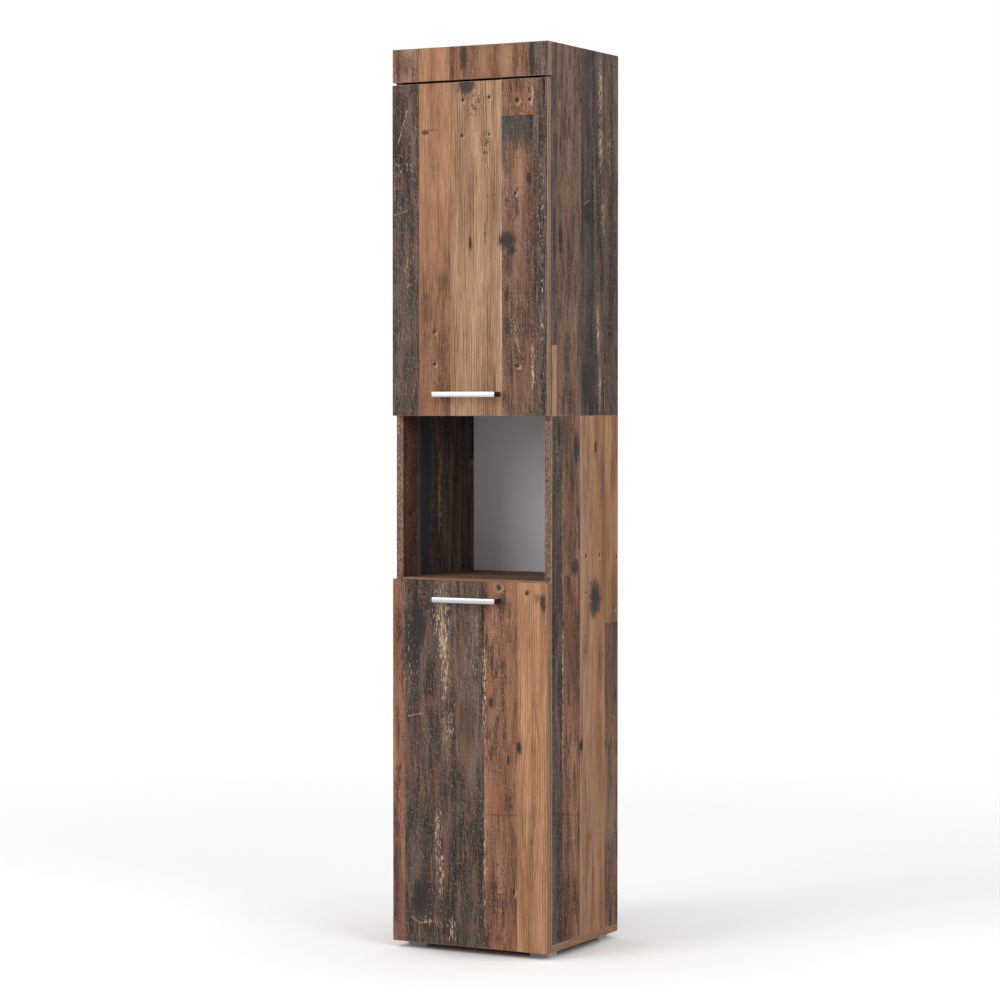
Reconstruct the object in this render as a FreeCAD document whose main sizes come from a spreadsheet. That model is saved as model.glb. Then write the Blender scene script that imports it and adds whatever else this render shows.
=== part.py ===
import FreeCAD, Part
import math
import os
from types import SimpleNamespace

import Sketcher

# Tall bathroom cabinet on four low glides: a lower compartment with a door, an open niche, an upper
# compartment with a door and a fixed front board above it. Flat boards are joined by dowels and cam
# fittings, the doors hang on concealed cup hinges at the left.
#
# Frame: millimetres, +Z up, the front looks along -Y, X = 0 is the middle of the width, Z = 0 is the
# floor and Y = 0 is half way between the handles' fronts and the back panels.

SIZES = {
    # the whole cabinet
    "overall_width": 370,
    "overall_height": 1900,
    "side_depth": 312,
    "board": 16,
    "back_thickness": 3,
    "back_inset": 2,
    "back_split_gap": 0.5,
    "cut_overshoot": 1,
    # glides
    "foot_width": 45,
    "foot_length": 40,
    "foot_height": 14,
    "foot_side_inset": 16,
    "foot_front_inset": 18.5,
    "foot_back_inset": 16,
    "foot_chamfer": 2,
    "foot_well_radius": 4.3,
    "foot_well_depth": 7,
    # fronts
    "door_thickness": 16,
    "door_gap": 1.5,
    "door_reveal": 0.5,
    "lower_door_height": 769,
    "niche_height": 345,
    "niche_floor_rise": 3,
    "fascia_height": 70,
    "fascia_thickness": 16,
    "fascia_gap": 5,
    "fascia_dowel_inset": 17.5,
    # loose shelves
    "lower_shelf_rise": 362,
    "upper_shelf_1_rise": 240,
    "upper_shelf_2_drop": 234,
    "shelf_side_clearance": 0.75,
    "shelf_setback": 15,
    "shelf_back_gap": 2,
    "shelf_pin_radius": 2.4,
    "shelf_pin_sunk": 8.5,
    "shelf_pin_reach": 8,
    # handles
    "handle_length": 149,
    "handle_height": 11,
    "handle_reach": 28,
    "handle_bar": 6,
    "handle_leg": 10,
    "handle_rounding": 1.2,
    "upper_handle_rise": 45,
    "lower_handle_drop": 40,
    "handle_screw_radius": 2,
    "handle_screw_engagement": 10,
    "handle_screw_head": 4,
    "handle_screw_head_height": 2.2,
    # board fittings
    "fitting_inset": 37,
    "fitting_step": 32,
    "dowel_radius": 4,
    "dowel_short": 11.5,
    "dowel_long": 18,
    "cam_radius": 7.4,
    "cam_height": 12.3,
    "cam_from_end": 24,
    "cam_cross_width": 1.4,
    "cam_cross_length": 8.9,
    "bolt_thread_radius": 2.4,
    "bolt_thread_length": 10.5,
    "bolt_shank_radius": 2.8,
    "bolt_head_radius": 3.4,
    "bolt_head_length": 4,
    "cam_cap_radius": 8.5,
    "cam_cap_thickness": 1.2,
    "drill_clearance": 0.1,
    # screws and nails
    "base_screw_radius": 2.5,
    "base_screw_length": 45,
    "base_screw_head": 4.5,
    "base_screw_inset": 85,
    "wood_screw_radius": 1.75,
    "wood_screw_length": 11,
    "wood_screw_head": 3.3,
    "wood_screw_head_height": 1.8,
    "nail_radius": 0.7,
    "nail_length": 20,
    "nail_head_radius": 1.5,
    "nail_head_height": 0.6,
    "nail_spacing": 150,
    "nail_end_inset": 60,
    "nail_board_offset": 60,
    "nail_joint_offset": 4,
    # angles at the top
    "angle_sheet": 2,
    "angle_width": 18,
    "wall_angle_leg": 25,
    "wall_hole_radius": 2.75,
    "wall_hole_spacing": 200,
    "wall_hole_drop": 15,
    "fascia_angle_leg": 20,
    "fascia_angle_spacing": 160,
    "angle_screw_inset": 11,
    # cup hinges, measured across from the side's outer face and back from its front edge
    "hinge_from_door_end": 100,
    "cup_radius": 17.4,
    "cup_sheet": 1,
    "cup_depth": 11.5,
    "cup_rim": 1.1,
    "cup_from_door_edge": 22.5,
    "cup_flange_length": 62,
    "cup_flange_width": 21,
    "cup_flange_thickness": 1,
    "cup_flange_offset": 3,
    "cup_screw_spacing": 48,
    "cup_screw_offset": 6,
    "cup_ear_inside": 8.4,
    "cup_ear_sheet": 2,
    "cup_ear_length": 16,
    "cup_ear_height": 8.5,
    "plate_sheet": 2,
    "plate_wing_length": 44,
    "plate_wing_width": 12,
    "plate_screw_spacing": 32,
    "plate_setback": 37,
    "rail_height": 4.5,
    "rail_width": 12,
    "rail_front": 14,
    "rail_back": 62,
    "arm_sheet": 1.2,
    "arm_lift": 2.3,
    "arm_top": 9.2,
    "arm_width": 14.8,
    "arm_shoulder": 14,
    "arm_nose_top": 16,
    "arm_nose_back": 5,
    "arm_nose_front": 0.5,
    "arm_screw_setback": 52,
    "arm_adjuster_setback": 26,
    "arm_screw_radius": 1.9,
    "arm_screw_head": 3.8,
    "arm_screw_head_height": 2.2,
    "hinge_pin_radius": 1.25,
    "hinge_pin_clearance": 0.05,
    "hinge_pin_overhang": 0.3,
    "link_half_width": 2.5,
    "link_width": 11.2,
    "cup_pin_length": 12,
    "outer_arm_pin_across": 22.1,
    "outer_arm_pin_back": 4,
    "outer_cup_pin_across": 17.6,
    "outer_cup_pin_forward": 6.3,
    "inner_arm_pin_across": 27.6,
    "inner_arm_pin_back": 4,
    "inner_cup_pin_across": 25.5,
    "inner_cup_pin_forward": 8,
    # soft dots between door and free side
    "bumper_radius": 4,
    "bumper_thickness": 1.2,
    "bumper_from_door_end": 40,
}

doc = FreeCAD.newDocument("tall_cabinet")
sheet = doc.addObject("Spreadsheet::Sheet", "Sizes")
for row, (alias, number) in enumerate(SIZES.items(), start=1):
    sheet.set("A%d" % row, alias)
    sheet.set("B%d" % row, str(number))
    sheet.setAlias("B%d" % row, alias)
doc.recompute()


class Length:
    """A length that carries its value in millimetres and its formula in the sheet's names."""

    def __init__(self, value, formula):
        self.value = float(value)
        self.formula = formula

    def __add__(self, other):
        other = as_length(other)
        return Length(self.value + other.value, "(%s + %s)" % (self.formula, other.formula))

    def __sub__(self, other):
        other = as_length(other)
        return Length(self.value - other.value, "(%s - %s)" % (self.formula, other.formula))

    def __mul__(self, factor):
        return Length(self.value * factor, "(%s * %s)" % (self.formula, factor))

    def __truediv__(self, divisor):
        return Length(self.value / divisor, "(%s / %s)" % (self.formula, divisor))

    def __neg__(self):
        return self * -1

    def __radd__(self, other):
        return as_length(other) + self

    def __rsub__(self, other):
        return as_length(other) - self

    def __rmul__(self, factor):
        return self * factor


def as_length(value):
    """Turns a plain number into a Length."""
    return value if isinstance(value, Length) else Length(value, str(value))


S = SimpleNamespace(**{alias: Length(number, "Sizes." + alias) for alias, number in SIZES.items()})
ZERO = as_length(0)

DIRECTIONS = {
    "+X": (1, 0, 0),
    "-X": (-1, 0, 0),
    "+Y": (0, 1, 0),
    "-Y": (0, -1, 0),
    "+Z": (0, 0, 1),
    "-Z": (0, 0, -1),
}
OPPOSITE = {"+X": "-X", "-X": "+X", "+Y": "-Y", "-Y": "+Y", "+Z": "-Z", "-Z": "+Z"}

# two places nearer than this count as one, in millimetres
CLOSE = 0.01
# a pocket that takes away less than this cuts nothing, in cubic millimetres
LEAST_CUT = 0.5

nodes = {}


def node(name, piece):
    """Names a finished sub-part."""
    piece.Label = name
    nodes[name] = piece
    return piece


def bind(piece, prop, length):
    """Ties one property of a piece to the sheet."""
    piece.setExpression(prop, as_length(length).formula)


def place(piece, point):
    """Ties the place of a piece to the sheet."""
    for axis, length in zip("xyz", point):
        bind(piece, "Placement.Base." + axis, length)


def shift(point, direction, distance):
    """The point that lies a distance away along one of the main directions."""
    return tuple(p + distance * sign if sign else p for p, sign in zip(point, DIRECTIONS[direction]))


def box(name, corner, extent):
    """A rectangular piece: its lowest corner and its extent along X, Y and Z."""
    piece = doc.addObject("Part::Box", name)
    for prop, length in zip(("Length", "Width", "Height"), extent):
        bind(piece, prop, length)
    place(piece, corner)
    return piece


def rod(name, start, direction, radius, length):
    """A round piece that runs from its start point along one of the main directions."""
    piece = doc.addObject("Part::Cylinder", name)
    bind(piece, "Radius", radius)
    bind(piece, "Height", length)
    turn = FreeCAD.Rotation(FreeCAD.Vector(0, 0, 1), FreeCAD.Vector(*DIRECTIONS[direction]))
    piece.Placement = FreeCAD.Placement(FreeCAD.Vector(), turn)
    place(piece, start)
    return piece


def group(name, pieces):
    """Several separate solids in one object."""
    together = doc.addObject("Part::Compound", name)
    together.Links = pieces
    return together


def fuse(name, pieces):
    """Several overlapping or touching shapes made one solid."""
    joined = doc.addObject("Part::MultiFuse", name)
    joined.Shapes = pieces
    joined.Refine = True
    return joined


def cut(name, blank, tools):
    """A blank with holes and recesses taken out of it."""
    if not tools:
        return blank
    piece = doc.addObject("Part::Cut", name)
    piece.Base = blank
    piece.Tool = group(name + "_tools", tools)
    return piece


def new_body(name):
    """A body for a piece that is made from sketches."""
    return doc.addObject("PartDesign::Body", name)


def new_sketch(body, name, role):
    """A sketch on one of the body's own origin planes."""
    sketch = body.newObject("Sketcher::SketchObject", name)
    plane = next(plane for plane in body.Origin.OriginFeatures if plane.Role == role)
    sketch.AttachmentSupport = [(plane, "")]
    sketch.MapMode = "FlatFace"
    return sketch


def hold_point(sketch, geometry, point, across, up):
    """Ties one point of a sketch to its two coordinates."""
    for kind, length in (("DistanceX", across), ("DistanceY", up)):
        index = sketch.addConstraint(Sketcher.Constraint(kind, geometry, point, as_length(length).value))
        sketch.setExpression("Constraints[%d]" % index, as_length(length).formula)


def draw_outline(sketch, corners):
    """A closed outline of straight lines through the corners."""
    spots = [FreeCAD.Vector(as_length(a).value, as_length(b).value, 0) for a, b in corners]
    first = sketch.GeometryCount
    for start, end in zip(spots, spots[1:] + spots[:1]):
        sketch.addGeometry(Part.LineSegment(start, end), False)
    for index, corner in enumerate(corners):
        following = first + (index + 1) % len(corners)
        sketch.addConstraint(Sketcher.Constraint("Coincident", first + index, 2, following, 1))
        hold_point(sketch, first + index, 1, *corner)


def draw_circle(sketch, centre, radius):
    """A circle held by its centre and radius."""
    spot = FreeCAD.Vector(as_length(centre[0]).value, as_length(centre[1]).value, 0)
    up = FreeCAD.Vector(0, 0, 1)
    index = sketch.addGeometry(Part.Circle(spot, up, as_length(radius).value), False)
    size = sketch.addConstraint(Sketcher.Constraint("Radius", index, as_length(radius).value))
    sketch.setExpression("Constraints[%d]" % size, as_length(radius).formula)
    hold_point(sketch, index, 3, *centre)


def draw_link(sketch, first_eye, second_eye, half_width):
    """The long round-ended outline of a link around its two eyes."""
    start = FreeCAD.Vector(first_eye[0].value, first_eye[1].value, 0)
    end = FreeCAD.Vector(second_eye[0].value, second_eye[1].value, 0)
    up = FreeCAD.Vector(0, 0, 1)
    heading = math.atan2(end.y - start.y, end.x - start.x)
    side = FreeCAD.Vector(-math.sin(heading), math.cos(heading), 0) * half_width.value
    quarter = math.pi / 2
    half = half_width.value
    near = sketch.addGeometry(
        Part.ArcOfCircle(Part.Circle(start, up, half), heading + quarter, heading + 3 * quarter), False)
    far = sketch.addGeometry(
        Part.ArcOfCircle(Part.Circle(end, up, half), heading - quarter, heading + quarter), False)
    left = sketch.addGeometry(Part.LineSegment(end + side, start + side), False)
    right = sketch.addGeometry(Part.LineSegment(start - side, end - side), False)
    for one, one_end, other, other_end in ((near, 2, right, 1), (right, 2, far, 1),
                                           (far, 2, left, 1), (left, 2, near, 1)):
        sketch.addConstraint(Sketcher.Constraint("Tangent", one, one_end, other, other_end))
    for arc, eye in ((near, first_eye), (far, second_eye)):
        hold_point(sketch, arc, 3, *eye)
        size = sketch.addConstraint(Sketcher.Constraint("Radius", arc, half))
        sketch.setExpression("Constraints[%d]" % size, half_width.formula)


def pad(body, sketch, length, both_ways=False, reversed_way=False):
    """Thickens a sketch into the body."""
    feature = body.newObject("PartDesign::Pad", sketch.Name + "_pad")
    feature.Profile = sketch
    bind(feature, "Length", length)
    feature.SideType = "Symmetric" if both_ways else "One side"
    feature.Reversed = reversed_way
    doc.recompute()
    return feature


def pocket(body, sketch, length, both_ways=False, reversed_way=False):
    """Cuts a sketch out of the body and makes sure that it really takes material away."""
    before = body.Shape.Volume
    feature = body.newObject("PartDesign::Pocket", sketch.Name + "_pocket")
    feature.Profile = sketch
    bind(feature, "Length", length)
    feature.SideType = "Symmetric" if both_ways else "One side"
    feature.Reversed = reversed_way
    doc.recompute()
    if body.Shape.Volume >= before - LEAST_CUT:
        raise RuntimeError(sketch.Name + " cuts nothing")
    return feature


def edges_where(shape, wanted):
    """Names of the edges whose middle point passes a test."""
    names = []
    for index, edge in enumerate(shape.Edges, start=1):
        if wanted(edge.CenterOfMass):
            names.append("Edge%d" % index)
    return names


# ---------------------------------------------------------------------------------------------
# Planes that the whole cabinet shares
# ---------------------------------------------------------------------------------------------

HALF_WIDTH = S.overall_width / 2
FRONT = (S.door_gap + S.door_thickness + S.handle_reach - S.side_depth - S.back_thickness) / 2
REAR = FRONT + S.side_depth
DOOR_INNER = FRONT - S.door_gap
DOOR_OUTER = DOOR_INNER - S.door_thickness

BASE_TOP = S.foot_height + S.board
LOWER_DOOR_TOP = S.foot_height + S.lower_door_height
NICHE_FLOOR_TOP = LOWER_DOOR_TOP + S.niche_floor_rise
NICHE_FLOOR_BOTTOM = NICHE_FLOOR_TOP - S.board
JOINT = LOWER_DOOR_TOP + S.niche_height
UPPER_FLOOR_TOP = JOINT + S.board
UPPER_DOOR_TOP = S.overall_height - S.fascia_height - S.fascia_gap
UPPER_DOOR_HEIGHT = UPPER_DOOR_TOP - JOINT
TOP_UNDERSIDE = S.overall_height - S.board
BACK_SPLIT = JOINT + S.board / 2

HANDS = ("left", "right")
INWARD = {"left": "+X", "right": "-X"}
INNER_FACE = {"left": S.board - HALF_WIDTH, "right": HALF_WIDTH - S.board}
SIDE_MIDDLE = {"left": S.board / 2 - HALF_WIDTH, "right": HALF_WIDTH - S.board / 2}
ROWS = ("front", "back")


def fitting_row(row_name, steps):
    """The place in depth of a row of fittings, some steps further in than the outermost row."""
    inset = S.fitting_inset + S.fitting_step * steps
    return FRONT + inset if row_name == "front" else REAR - inset


# every board collects the holes that its neighbours' fittings need, and is cut once at the end
holes = {}


def drill(board_name, start, direction, radius, depth):
    """Notes a round hole in a board."""
    tools = holes.setdefault(board_name, [])
    tool = rod("%s_hole_%d" % (board_name, len(tools) + 1), start, direction, radius, depth)
    tools.append(tool)


# ---------------------------------------------------------------------------------------------
# Fittings: each is made together with the holes that it sits in
# ---------------------------------------------------------------------------------------------

dowel_rods = []
cam_solids = []
bolt_solids = []
cap_solids = []


def add_dowel(point, direction, short_board, long_board):
    """A wooden dowel across the joint face at the point; the direction leads into the long board."""
    index = len(dowel_rods) + 1
    start = shift(point, OPPOSITE[direction], S.dowel_short)
    dowel_rods.append(rod("dowel_%d" % index, start, direction, S.dowel_radius,
                          S.dowel_short + S.dowel_long))
    bore = S.dowel_radius + S.drill_clearance
    drill(short_board, point, OPPOSITE[direction], bore, S.dowel_short + S.drill_clearance)
    drill(long_board, point, direction, bore, S.dowel_long + S.drill_clearance)


def add_cam(joint_point, direction, face_direction, face_distance, cam_board, bolt_board):
    """A cam lock in one board that pulls on a bolt in the other.

    The joint point lies on the joint face in the bolt's axis; the direction leads from there into the
    cam's board, and the face direction leads from the bolt's axis to the face that the cam sits in.
    """
    index = len(cam_solids) + 1
    name = "cam_%d" % index
    middle = shift(joint_point, direction, S.cam_from_end)
    face = shift(middle, face_direction, face_distance)
    inward = OPPOSITE[face_direction]
    disc = rod(name + "_disc", face, inward, S.cam_radius, S.cam_height)
    mouth_run = S.cam_radius + S.cut_overshoot
    mouth = rod(name + "_mouth", shift(middle, OPPOSITE[direction], mouth_run), direction,
                S.bolt_head_radius + 2 * S.drill_clearance, mouth_run + S.bolt_head_length)
    cross = []
    for axis in range(3):
        if DIRECTIONS[face_direction][axis] == 0:
            extent = [S.cam_cross_width] * 3
            extent[axis] = S.cam_cross_length
            corner = [middle_of_face - e / 2 for middle_of_face, e in zip(face, extent)]
            cross.append(box("%s_cross_%s" % (name, "xyz"[axis]), corner, extent))
    cam_solids.append(cut(name, disc, [mouth] + cross))
    drill(cam_board, face, inward, S.cam_radius + S.drill_clearance, S.cam_height + S.drill_clearance)
    shank_room = S.bolt_head_radius + S.drill_clearance
    drill(cam_board, joint_point, direction, shank_room, S.cam_from_end)

    head_start = shift(middle, OPPOSITE[direction], S.bolt_head_length / 2)
    thread = rod("bolt_%d_thread" % index, joint_point, OPPOSITE[direction], S.bolt_thread_radius,
                 S.bolt_thread_length)
    shank = rod("bolt_%d_shank" % index, joint_point, direction, S.bolt_shank_radius,
                S.cam_from_end - S.bolt_head_length / 2)
    head = rod("bolt_%d_head" % index, head_start, direction, S.bolt_head_radius, S.bolt_head_length)
    bolt_solids.append(fuse("bolt_%d" % index, [thread, shank, head]))
    drill(bolt_board, joint_point, OPPOSITE[direction], S.bolt_thread_radius + S.drill_clearance,
          S.bolt_thread_length + S.drill_clearance)


def add_screw(solids, name, head_seat, direction, shank_length, boards, shank=None, head=None,
              head_height=None):
    """A pan-head screw: its head lies outside the seat, its shank runs along the direction.

    The boards are (board, depth already passed before it, depth drilled in it).
    """
    shank = shank or S.wood_screw_radius
    head = head or S.wood_screw_head
    head_height = head_height or S.wood_screw_head_height
    label = "%s_%d" % (name, len(solids) + 1)
    stem = rod(label + "_stem", head_seat, direction, shank, shank_length)
    cap = rod(label + "_cap", head_seat, OPPOSITE[direction], head, head_height)
    solids.append(fuse(label, [stem, cap]))
    for board_name, passed, depth in boards:
        drill(board_name, shift(head_seat, direction, passed), direction, shank + S.drill_clearance, depth)


def join_board_to_sides(board_name, underside, sides, cams_face, first_step):
    """Dowels and cam fittings at both ends of a fixed board between the sides."""
    middle_height = underside + S.board / 2
    for hand in HANDS:
        for row_name in ROWS:
            point = (INNER_FACE[hand], fitting_row(row_name, first_step), middle_height)
            add_cam(point, INWARD[hand], cams_face, S.board / 2, board_name, sides[hand])
            peg = (INNER_FACE[hand], fitting_row(row_name, first_step + 1), middle_height)
            add_dowel(peg, INWARD[hand], sides[hand], board_name)


LOWER_SIDES = {"left": "lower_side_left", "right": "lower_side_right"}
UPPER_SIDES = {"left": "upper_side_left", "right": "upper_side_right"}

join_board_to_sides("niche_floor", NICHE_FLOOR_BOTTOM, LOWER_SIDES, "-Z", 0)
join_board_to_sides("upper_floor", JOINT, UPPER_SIDES, "+Z", 2)
join_board_to_sides("top_panel", TOP_UNDERSIDE, UPPER_SIDES, "-Z", 0)

# the lower sides stand on the base, and the upper sides stand on the lower ones
for hand in HANDS:
    for row_name in ROWS:
        outermost = fitting_row(row_name, 0)
        add_dowel((SIDE_MIDDLE[hand], outermost, BASE_TOP), "+Z", "base_panel", LOWER_SIDES[hand])
        add_dowel((SIDE_MIDDLE[hand], fitting_row(row_name, 1), JOINT), "+Z",
                  LOWER_SIDES[hand], UPPER_SIDES[hand])
        add_cam((SIDE_MIDDLE[hand], outermost, JOINT), "-Z", INWARD[hand], S.board / 2,
                LOWER_SIDES[hand], UPPER_SIDES[hand])
        cap_seat = (INNER_FACE[hand], outermost, JOINT - S.cam_from_end)
        cap_solids.append(rod("cap_%s_%s" % (hand, row_name), cap_seat, INWARD[hand], S.cam_cap_radius,
                              S.cam_cap_thickness))

# the fascia is pegged to the front edges of the upper sides
for hand in HANDS:
    for height in (S.overall_height - S.fascia_dowel_inset,
                   S.overall_height - S.fascia_height + S.fascia_dowel_inset):
        add_dowel((SIDE_MIDDLE[hand], FRONT, height), "+Y", "fascia", UPPER_SIDES[hand])

base_screws = []
for hand in HANDS:
    for inset in (FRONT + S.base_screw_inset, REAR - S.base_screw_inset):
        add_screw(base_screws, "base_screw", (SIDE_MIDDLE[hand], inset, S.foot_height), "+Z",
                  S.base_screw_length,
                  [("base_panel", 0, S.board), (LOWER_SIDES[hand], S.board, S.base_screw_length - S.board)],
                  shank=S.base_screw_radius, head=S.base_screw_head)
node("base_screws", group("base_screws", base_screws))

# ---------------------------------------------------------------------------------------------
# Glides under the base
# ---------------------------------------------------------------------------------------------

foot_screws = []


def build_foot(name, corner_x, corner_y):
    """A square plastic glide with bevelled lower edges and a sunk screw hole."""
    body = new_body(name)
    sole = new_sketch(body, name + "_sole", "XY_Plane")
    draw_outline(sole, [(0, 0), (S.foot_width, 0), (S.foot_width, S.foot_length), (0, S.foot_length)])
    block = pad(body, sole, S.foot_height)
    bevel = body.newObject("PartDesign::Chamfer", name + "_bevel")
    bevel.Base = (block, edges_where(block.Shape, lambda middle: middle.z < CLOSE))
    bind(bevel, "Size", S.foot_chamfer)
    doc.recompute()
    centre = (S.foot_width / 2, S.foot_length / 2)
    bore = new_sketch(body, name + "_bore", "XY_Plane")
    draw_circle(bore, centre, S.wood_screw_radius + S.drill_clearance)
    pocket(body, bore, S.foot_height, reversed_way=True)
    well = new_sketch(body, name + "_well", "XY_Plane")
    draw_circle(well, centre, S.foot_well_radius)
    pocket(body, well, S.foot_well_depth, reversed_way=True)
    place(body, (corner_x, corner_y, ZERO))
    node(name, body)
    seat = (corner_x + centre[0], corner_y + centre[1], S.foot_well_depth)
    neck = S.foot_height - S.foot_well_depth
    add_screw(foot_screws, "foot_screw", seat, "+Z", neck + S.wood_screw_length,
              [("base_panel", neck, S.wood_screw_length + S.drill_clearance)])


FOOT_X = {"left": S.foot_side_inset - HALF_WIDTH, "right": HALF_WIDTH - S.foot_side_inset - S.foot_width}
FOOT_Y = {"front": FRONT + S.foot_front_inset, "back": REAR - S.foot_back_inset - S.foot_length}
for hand in HANDS:
    for row_name in FOOT_Y:
        build_foot("foot_%s_%s" % (row_name, hand), FOOT_X[hand], FOOT_Y[row_name])
node("foot_screws", group("foot_screws", foot_screws))

# ---------------------------------------------------------------------------------------------
# Loose shelves on pins
# ---------------------------------------------------------------------------------------------

shelf_pins = []
SHELVES = {
    "lower_shelf": (BASE_TOP + S.lower_shelf_rise, LOWER_SIDES),
    "upper_shelf_1": (UPPER_FLOOR_TOP + S.upper_shelf_1_rise, UPPER_SIDES),
    "upper_shelf_2": (TOP_UNDERSIDE - S.upper_shelf_2_drop - S.board, UPPER_SIDES),
}
for shelf_name, (underside, sides) in SHELVES.items():
    corner = (INNER_FACE["left"] + S.shelf_side_clearance, FRONT + S.shelf_setback, underside)
    extent = (S.overall_width - 2 * (S.board + S.shelf_side_clearance),
              S.side_depth - S.shelf_setback - S.shelf_back_gap, S.board)
    node(shelf_name, box(shelf_name, corner, extent))
    for hand in HANDS:
        for row_name in ROWS:
            start = (INNER_FACE[hand], fitting_row(row_name, 0), underside - S.shelf_pin_radius)
            outer_end = shift(start, OPPOSITE[INWARD[hand]], S.shelf_pin_sunk)
            shelf_pins.append(rod("shelf_pin_%d" % (len(shelf_pins) + 1), outer_end, INWARD[hand],
                                  S.shelf_pin_radius, S.shelf_pin_sunk + S.shelf_pin_reach))
            drill(sides[hand], start, OPPOSITE[INWARD[hand]], S.shelf_pin_radius + S.drill_clearance,
                  S.shelf_pin_sunk + S.drill_clearance)
node("shelf_pins", group("shelf_pins", shelf_pins))

# ---------------------------------------------------------------------------------------------
# Angles that hold the fascia and fix the cabinet to a wall
# ---------------------------------------------------------------------------------------------

fascia_screws = []
wall_angle_screws = []


def build_angle(name, middle_x, wall_face, leg, facing, hole_radius, hole_drop):
    """A bent sheet angle under the top panel; its upright leg lies on the wall face.

    The facing is the direction in which the flat leg leaves the upright one.
    """
    toward = 1 if facing == "+Y" else -1
    body = new_body(name)
    profile = new_sketch(body, name + "_profile", "YZ_Plane")
    draw_outline(profile, [(0, 0), (leg * toward, 0), (leg * toward, -S.angle_sheet),
                           (S.angle_sheet * toward, -S.angle_sheet), (S.angle_sheet * toward, -leg),
                           (0, -leg)])
    pad(body, profile, S.angle_width, both_ways=True)
    upright = new_sketch(body, name + "_upright_hole", "XZ_Plane")
    draw_circle(upright, (0, -hole_drop), hole_radius)
    pocket(body, upright, 2 * leg, both_ways=True)
    flat = new_sketch(body, name + "_flat_hole", "XY_Plane")
    draw_circle(flat, (0, S.angle_screw_inset * toward), S.wood_screw_radius + S.drill_clearance)
    pocket(body, flat, 2 * (S.angle_sheet + S.cut_overshoot), both_ways=True)
    place(body, (middle_x, wall_face, TOP_UNDERSIDE))
    return body


fascia_angles = []
wall_angles = []
for sign in (-1, 1):
    hand = "left" if sign < 0 else "right"
    middle = S.fascia_angle_spacing / 2 * sign
    angle = build_angle("fascia_angle_" + hand, middle, FRONT, S.fascia_angle_leg, "+Y",
                        S.wood_screw_radius + S.drill_clearance, S.angle_screw_inset)
    fascia_angles.append(angle)
    up_seat = (middle, FRONT + S.angle_screw_inset, TOP_UNDERSIDE - S.angle_sheet)
    front_seat = (middle, FRONT + S.angle_sheet, TOP_UNDERSIDE - S.angle_screw_inset)
    depth = S.wood_screw_length + S.drill_clearance
    add_screw(fascia_screws, "fascia_screw", up_seat, "+Z", S.angle_sheet + S.wood_screw_length,
              [("top_panel", S.angle_sheet, depth)])
    add_screw(fascia_screws, "fascia_screw", front_seat, "-Y", S.angle_sheet + S.wood_screw_length,
              [("fascia", S.angle_sheet, depth)])

    middle = S.wall_hole_spacing / 2 * sign
    angle = build_angle("wall_angle_" + hand, middle, REAR, S.wall_angle_leg, "-Y",
                        S.wall_hole_radius, S.wall_hole_drop)
    wall_angles.append(angle)
    up_seat = (middle, REAR - S.angle_screw_inset, TOP_UNDERSIDE - S.angle_sheet)
    add_screw(wall_angle_screws, "wall_angle_screw", up_seat, "+Z", S.angle_sheet + S.wood_screw_length,
              [("top_panel", S.angle_sheet, depth)])
    drill("upper_back_panel", (middle, REAR, TOP_UNDERSIDE - S.wall_hole_drop), "+Y", S.wall_hole_radius,
          S.back_thickness)
node("fascia_angles", group("fascia_angles", fascia_angles))
node("wall_angles", group("wall_angles", wall_angles))
node("fascia_screws", group("fascia_screws", fascia_screws))
node("wall_angle_screws", group("wall_angle_screws", wall_angle_screws))

# ---------------------------------------------------------------------------------------------
# Handles
# ---------------------------------------------------------------------------------------------

HANDLE_SCREW_X = (S.handle_length - S.handle_leg) / 2
HANDLES = {
    "upper": JOINT + S.upper_handle_rise,
    "lower": LOWER_DOOR_TOP - S.lower_handle_drop,
}


def build_handle(name, height):
    """A flat bar handle bent to a U, with a threaded bore in each leg."""
    half = S.handle_length / 2
    body = new_body(name)
    plan = new_sketch(body, name + "_plan", "XY_Plane")
    draw_outline(plan, [
        (-half, 0), (-half, -S.handle_reach), (half, -S.handle_reach), (half, 0),
        (half - S.handle_leg, 0), (half - S.handle_leg, S.handle_bar - S.handle_reach),
        (S.handle_leg - half, S.handle_bar - S.handle_reach), (S.handle_leg - half, 0)])
    bar = pad(body, plan, S.handle_height, both_ways=True)
    reach = S.handle_reach.value
    end = half.value
    front_corners = edges_where(bar.Shape, lambda middle: abs(middle.y + reach) < CLOSE
                                and abs(abs(middle.x) - end) < CLOSE)
    rounding = body.newObject("PartDesign::Fillet", name + "_rounding")
    rounding.Base = (bar, front_corners)
    bind(rounding, "Radius", S.handle_rounding)
    doc.recompute()
    for sign in (-1, 1):
        bore = new_sketch(body, "%s_bore_%s" % (name, "left" if sign < 0 else "right"), "XZ_Plane")
        draw_circle(bore, (HANDLE_SCREW_X * sign, 0), S.handle_screw_radius + S.drill_clearance)
        pocket(body, bore, 2 * (S.handle_screw_engagement + S.cut_overshoot), both_ways=True)
    place(body, (ZERO, DOOR_OUTER, height))
    return node(name, body)


for level, height in HANDLES.items():
    build_handle(level + "_handle", height)
    screws = []
    for sign in (-1, 1):
        add_screw(screws, level + "_handle_screw", (HANDLE_SCREW_X * sign, DOOR_INNER, height), "-Y",
                  S.door_thickness + S.handle_screw_engagement, [(level + "_door", 0, S.door_thickness)],
                  shank=S.handle_screw_radius, head=S.handle_screw_head,
                  head_height=S.handle_screw_head_height)
    node(level + "_handle_screws", group(level + "_handle_screws", screws))

# ---------------------------------------------------------------------------------------------
# Cup hinges at the left: the plate is screwed to the side, the arm is screwed to the plate, two links
# lead from the arm into the cup, and the cup sits in the door
# ---------------------------------------------------------------------------------------------

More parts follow.
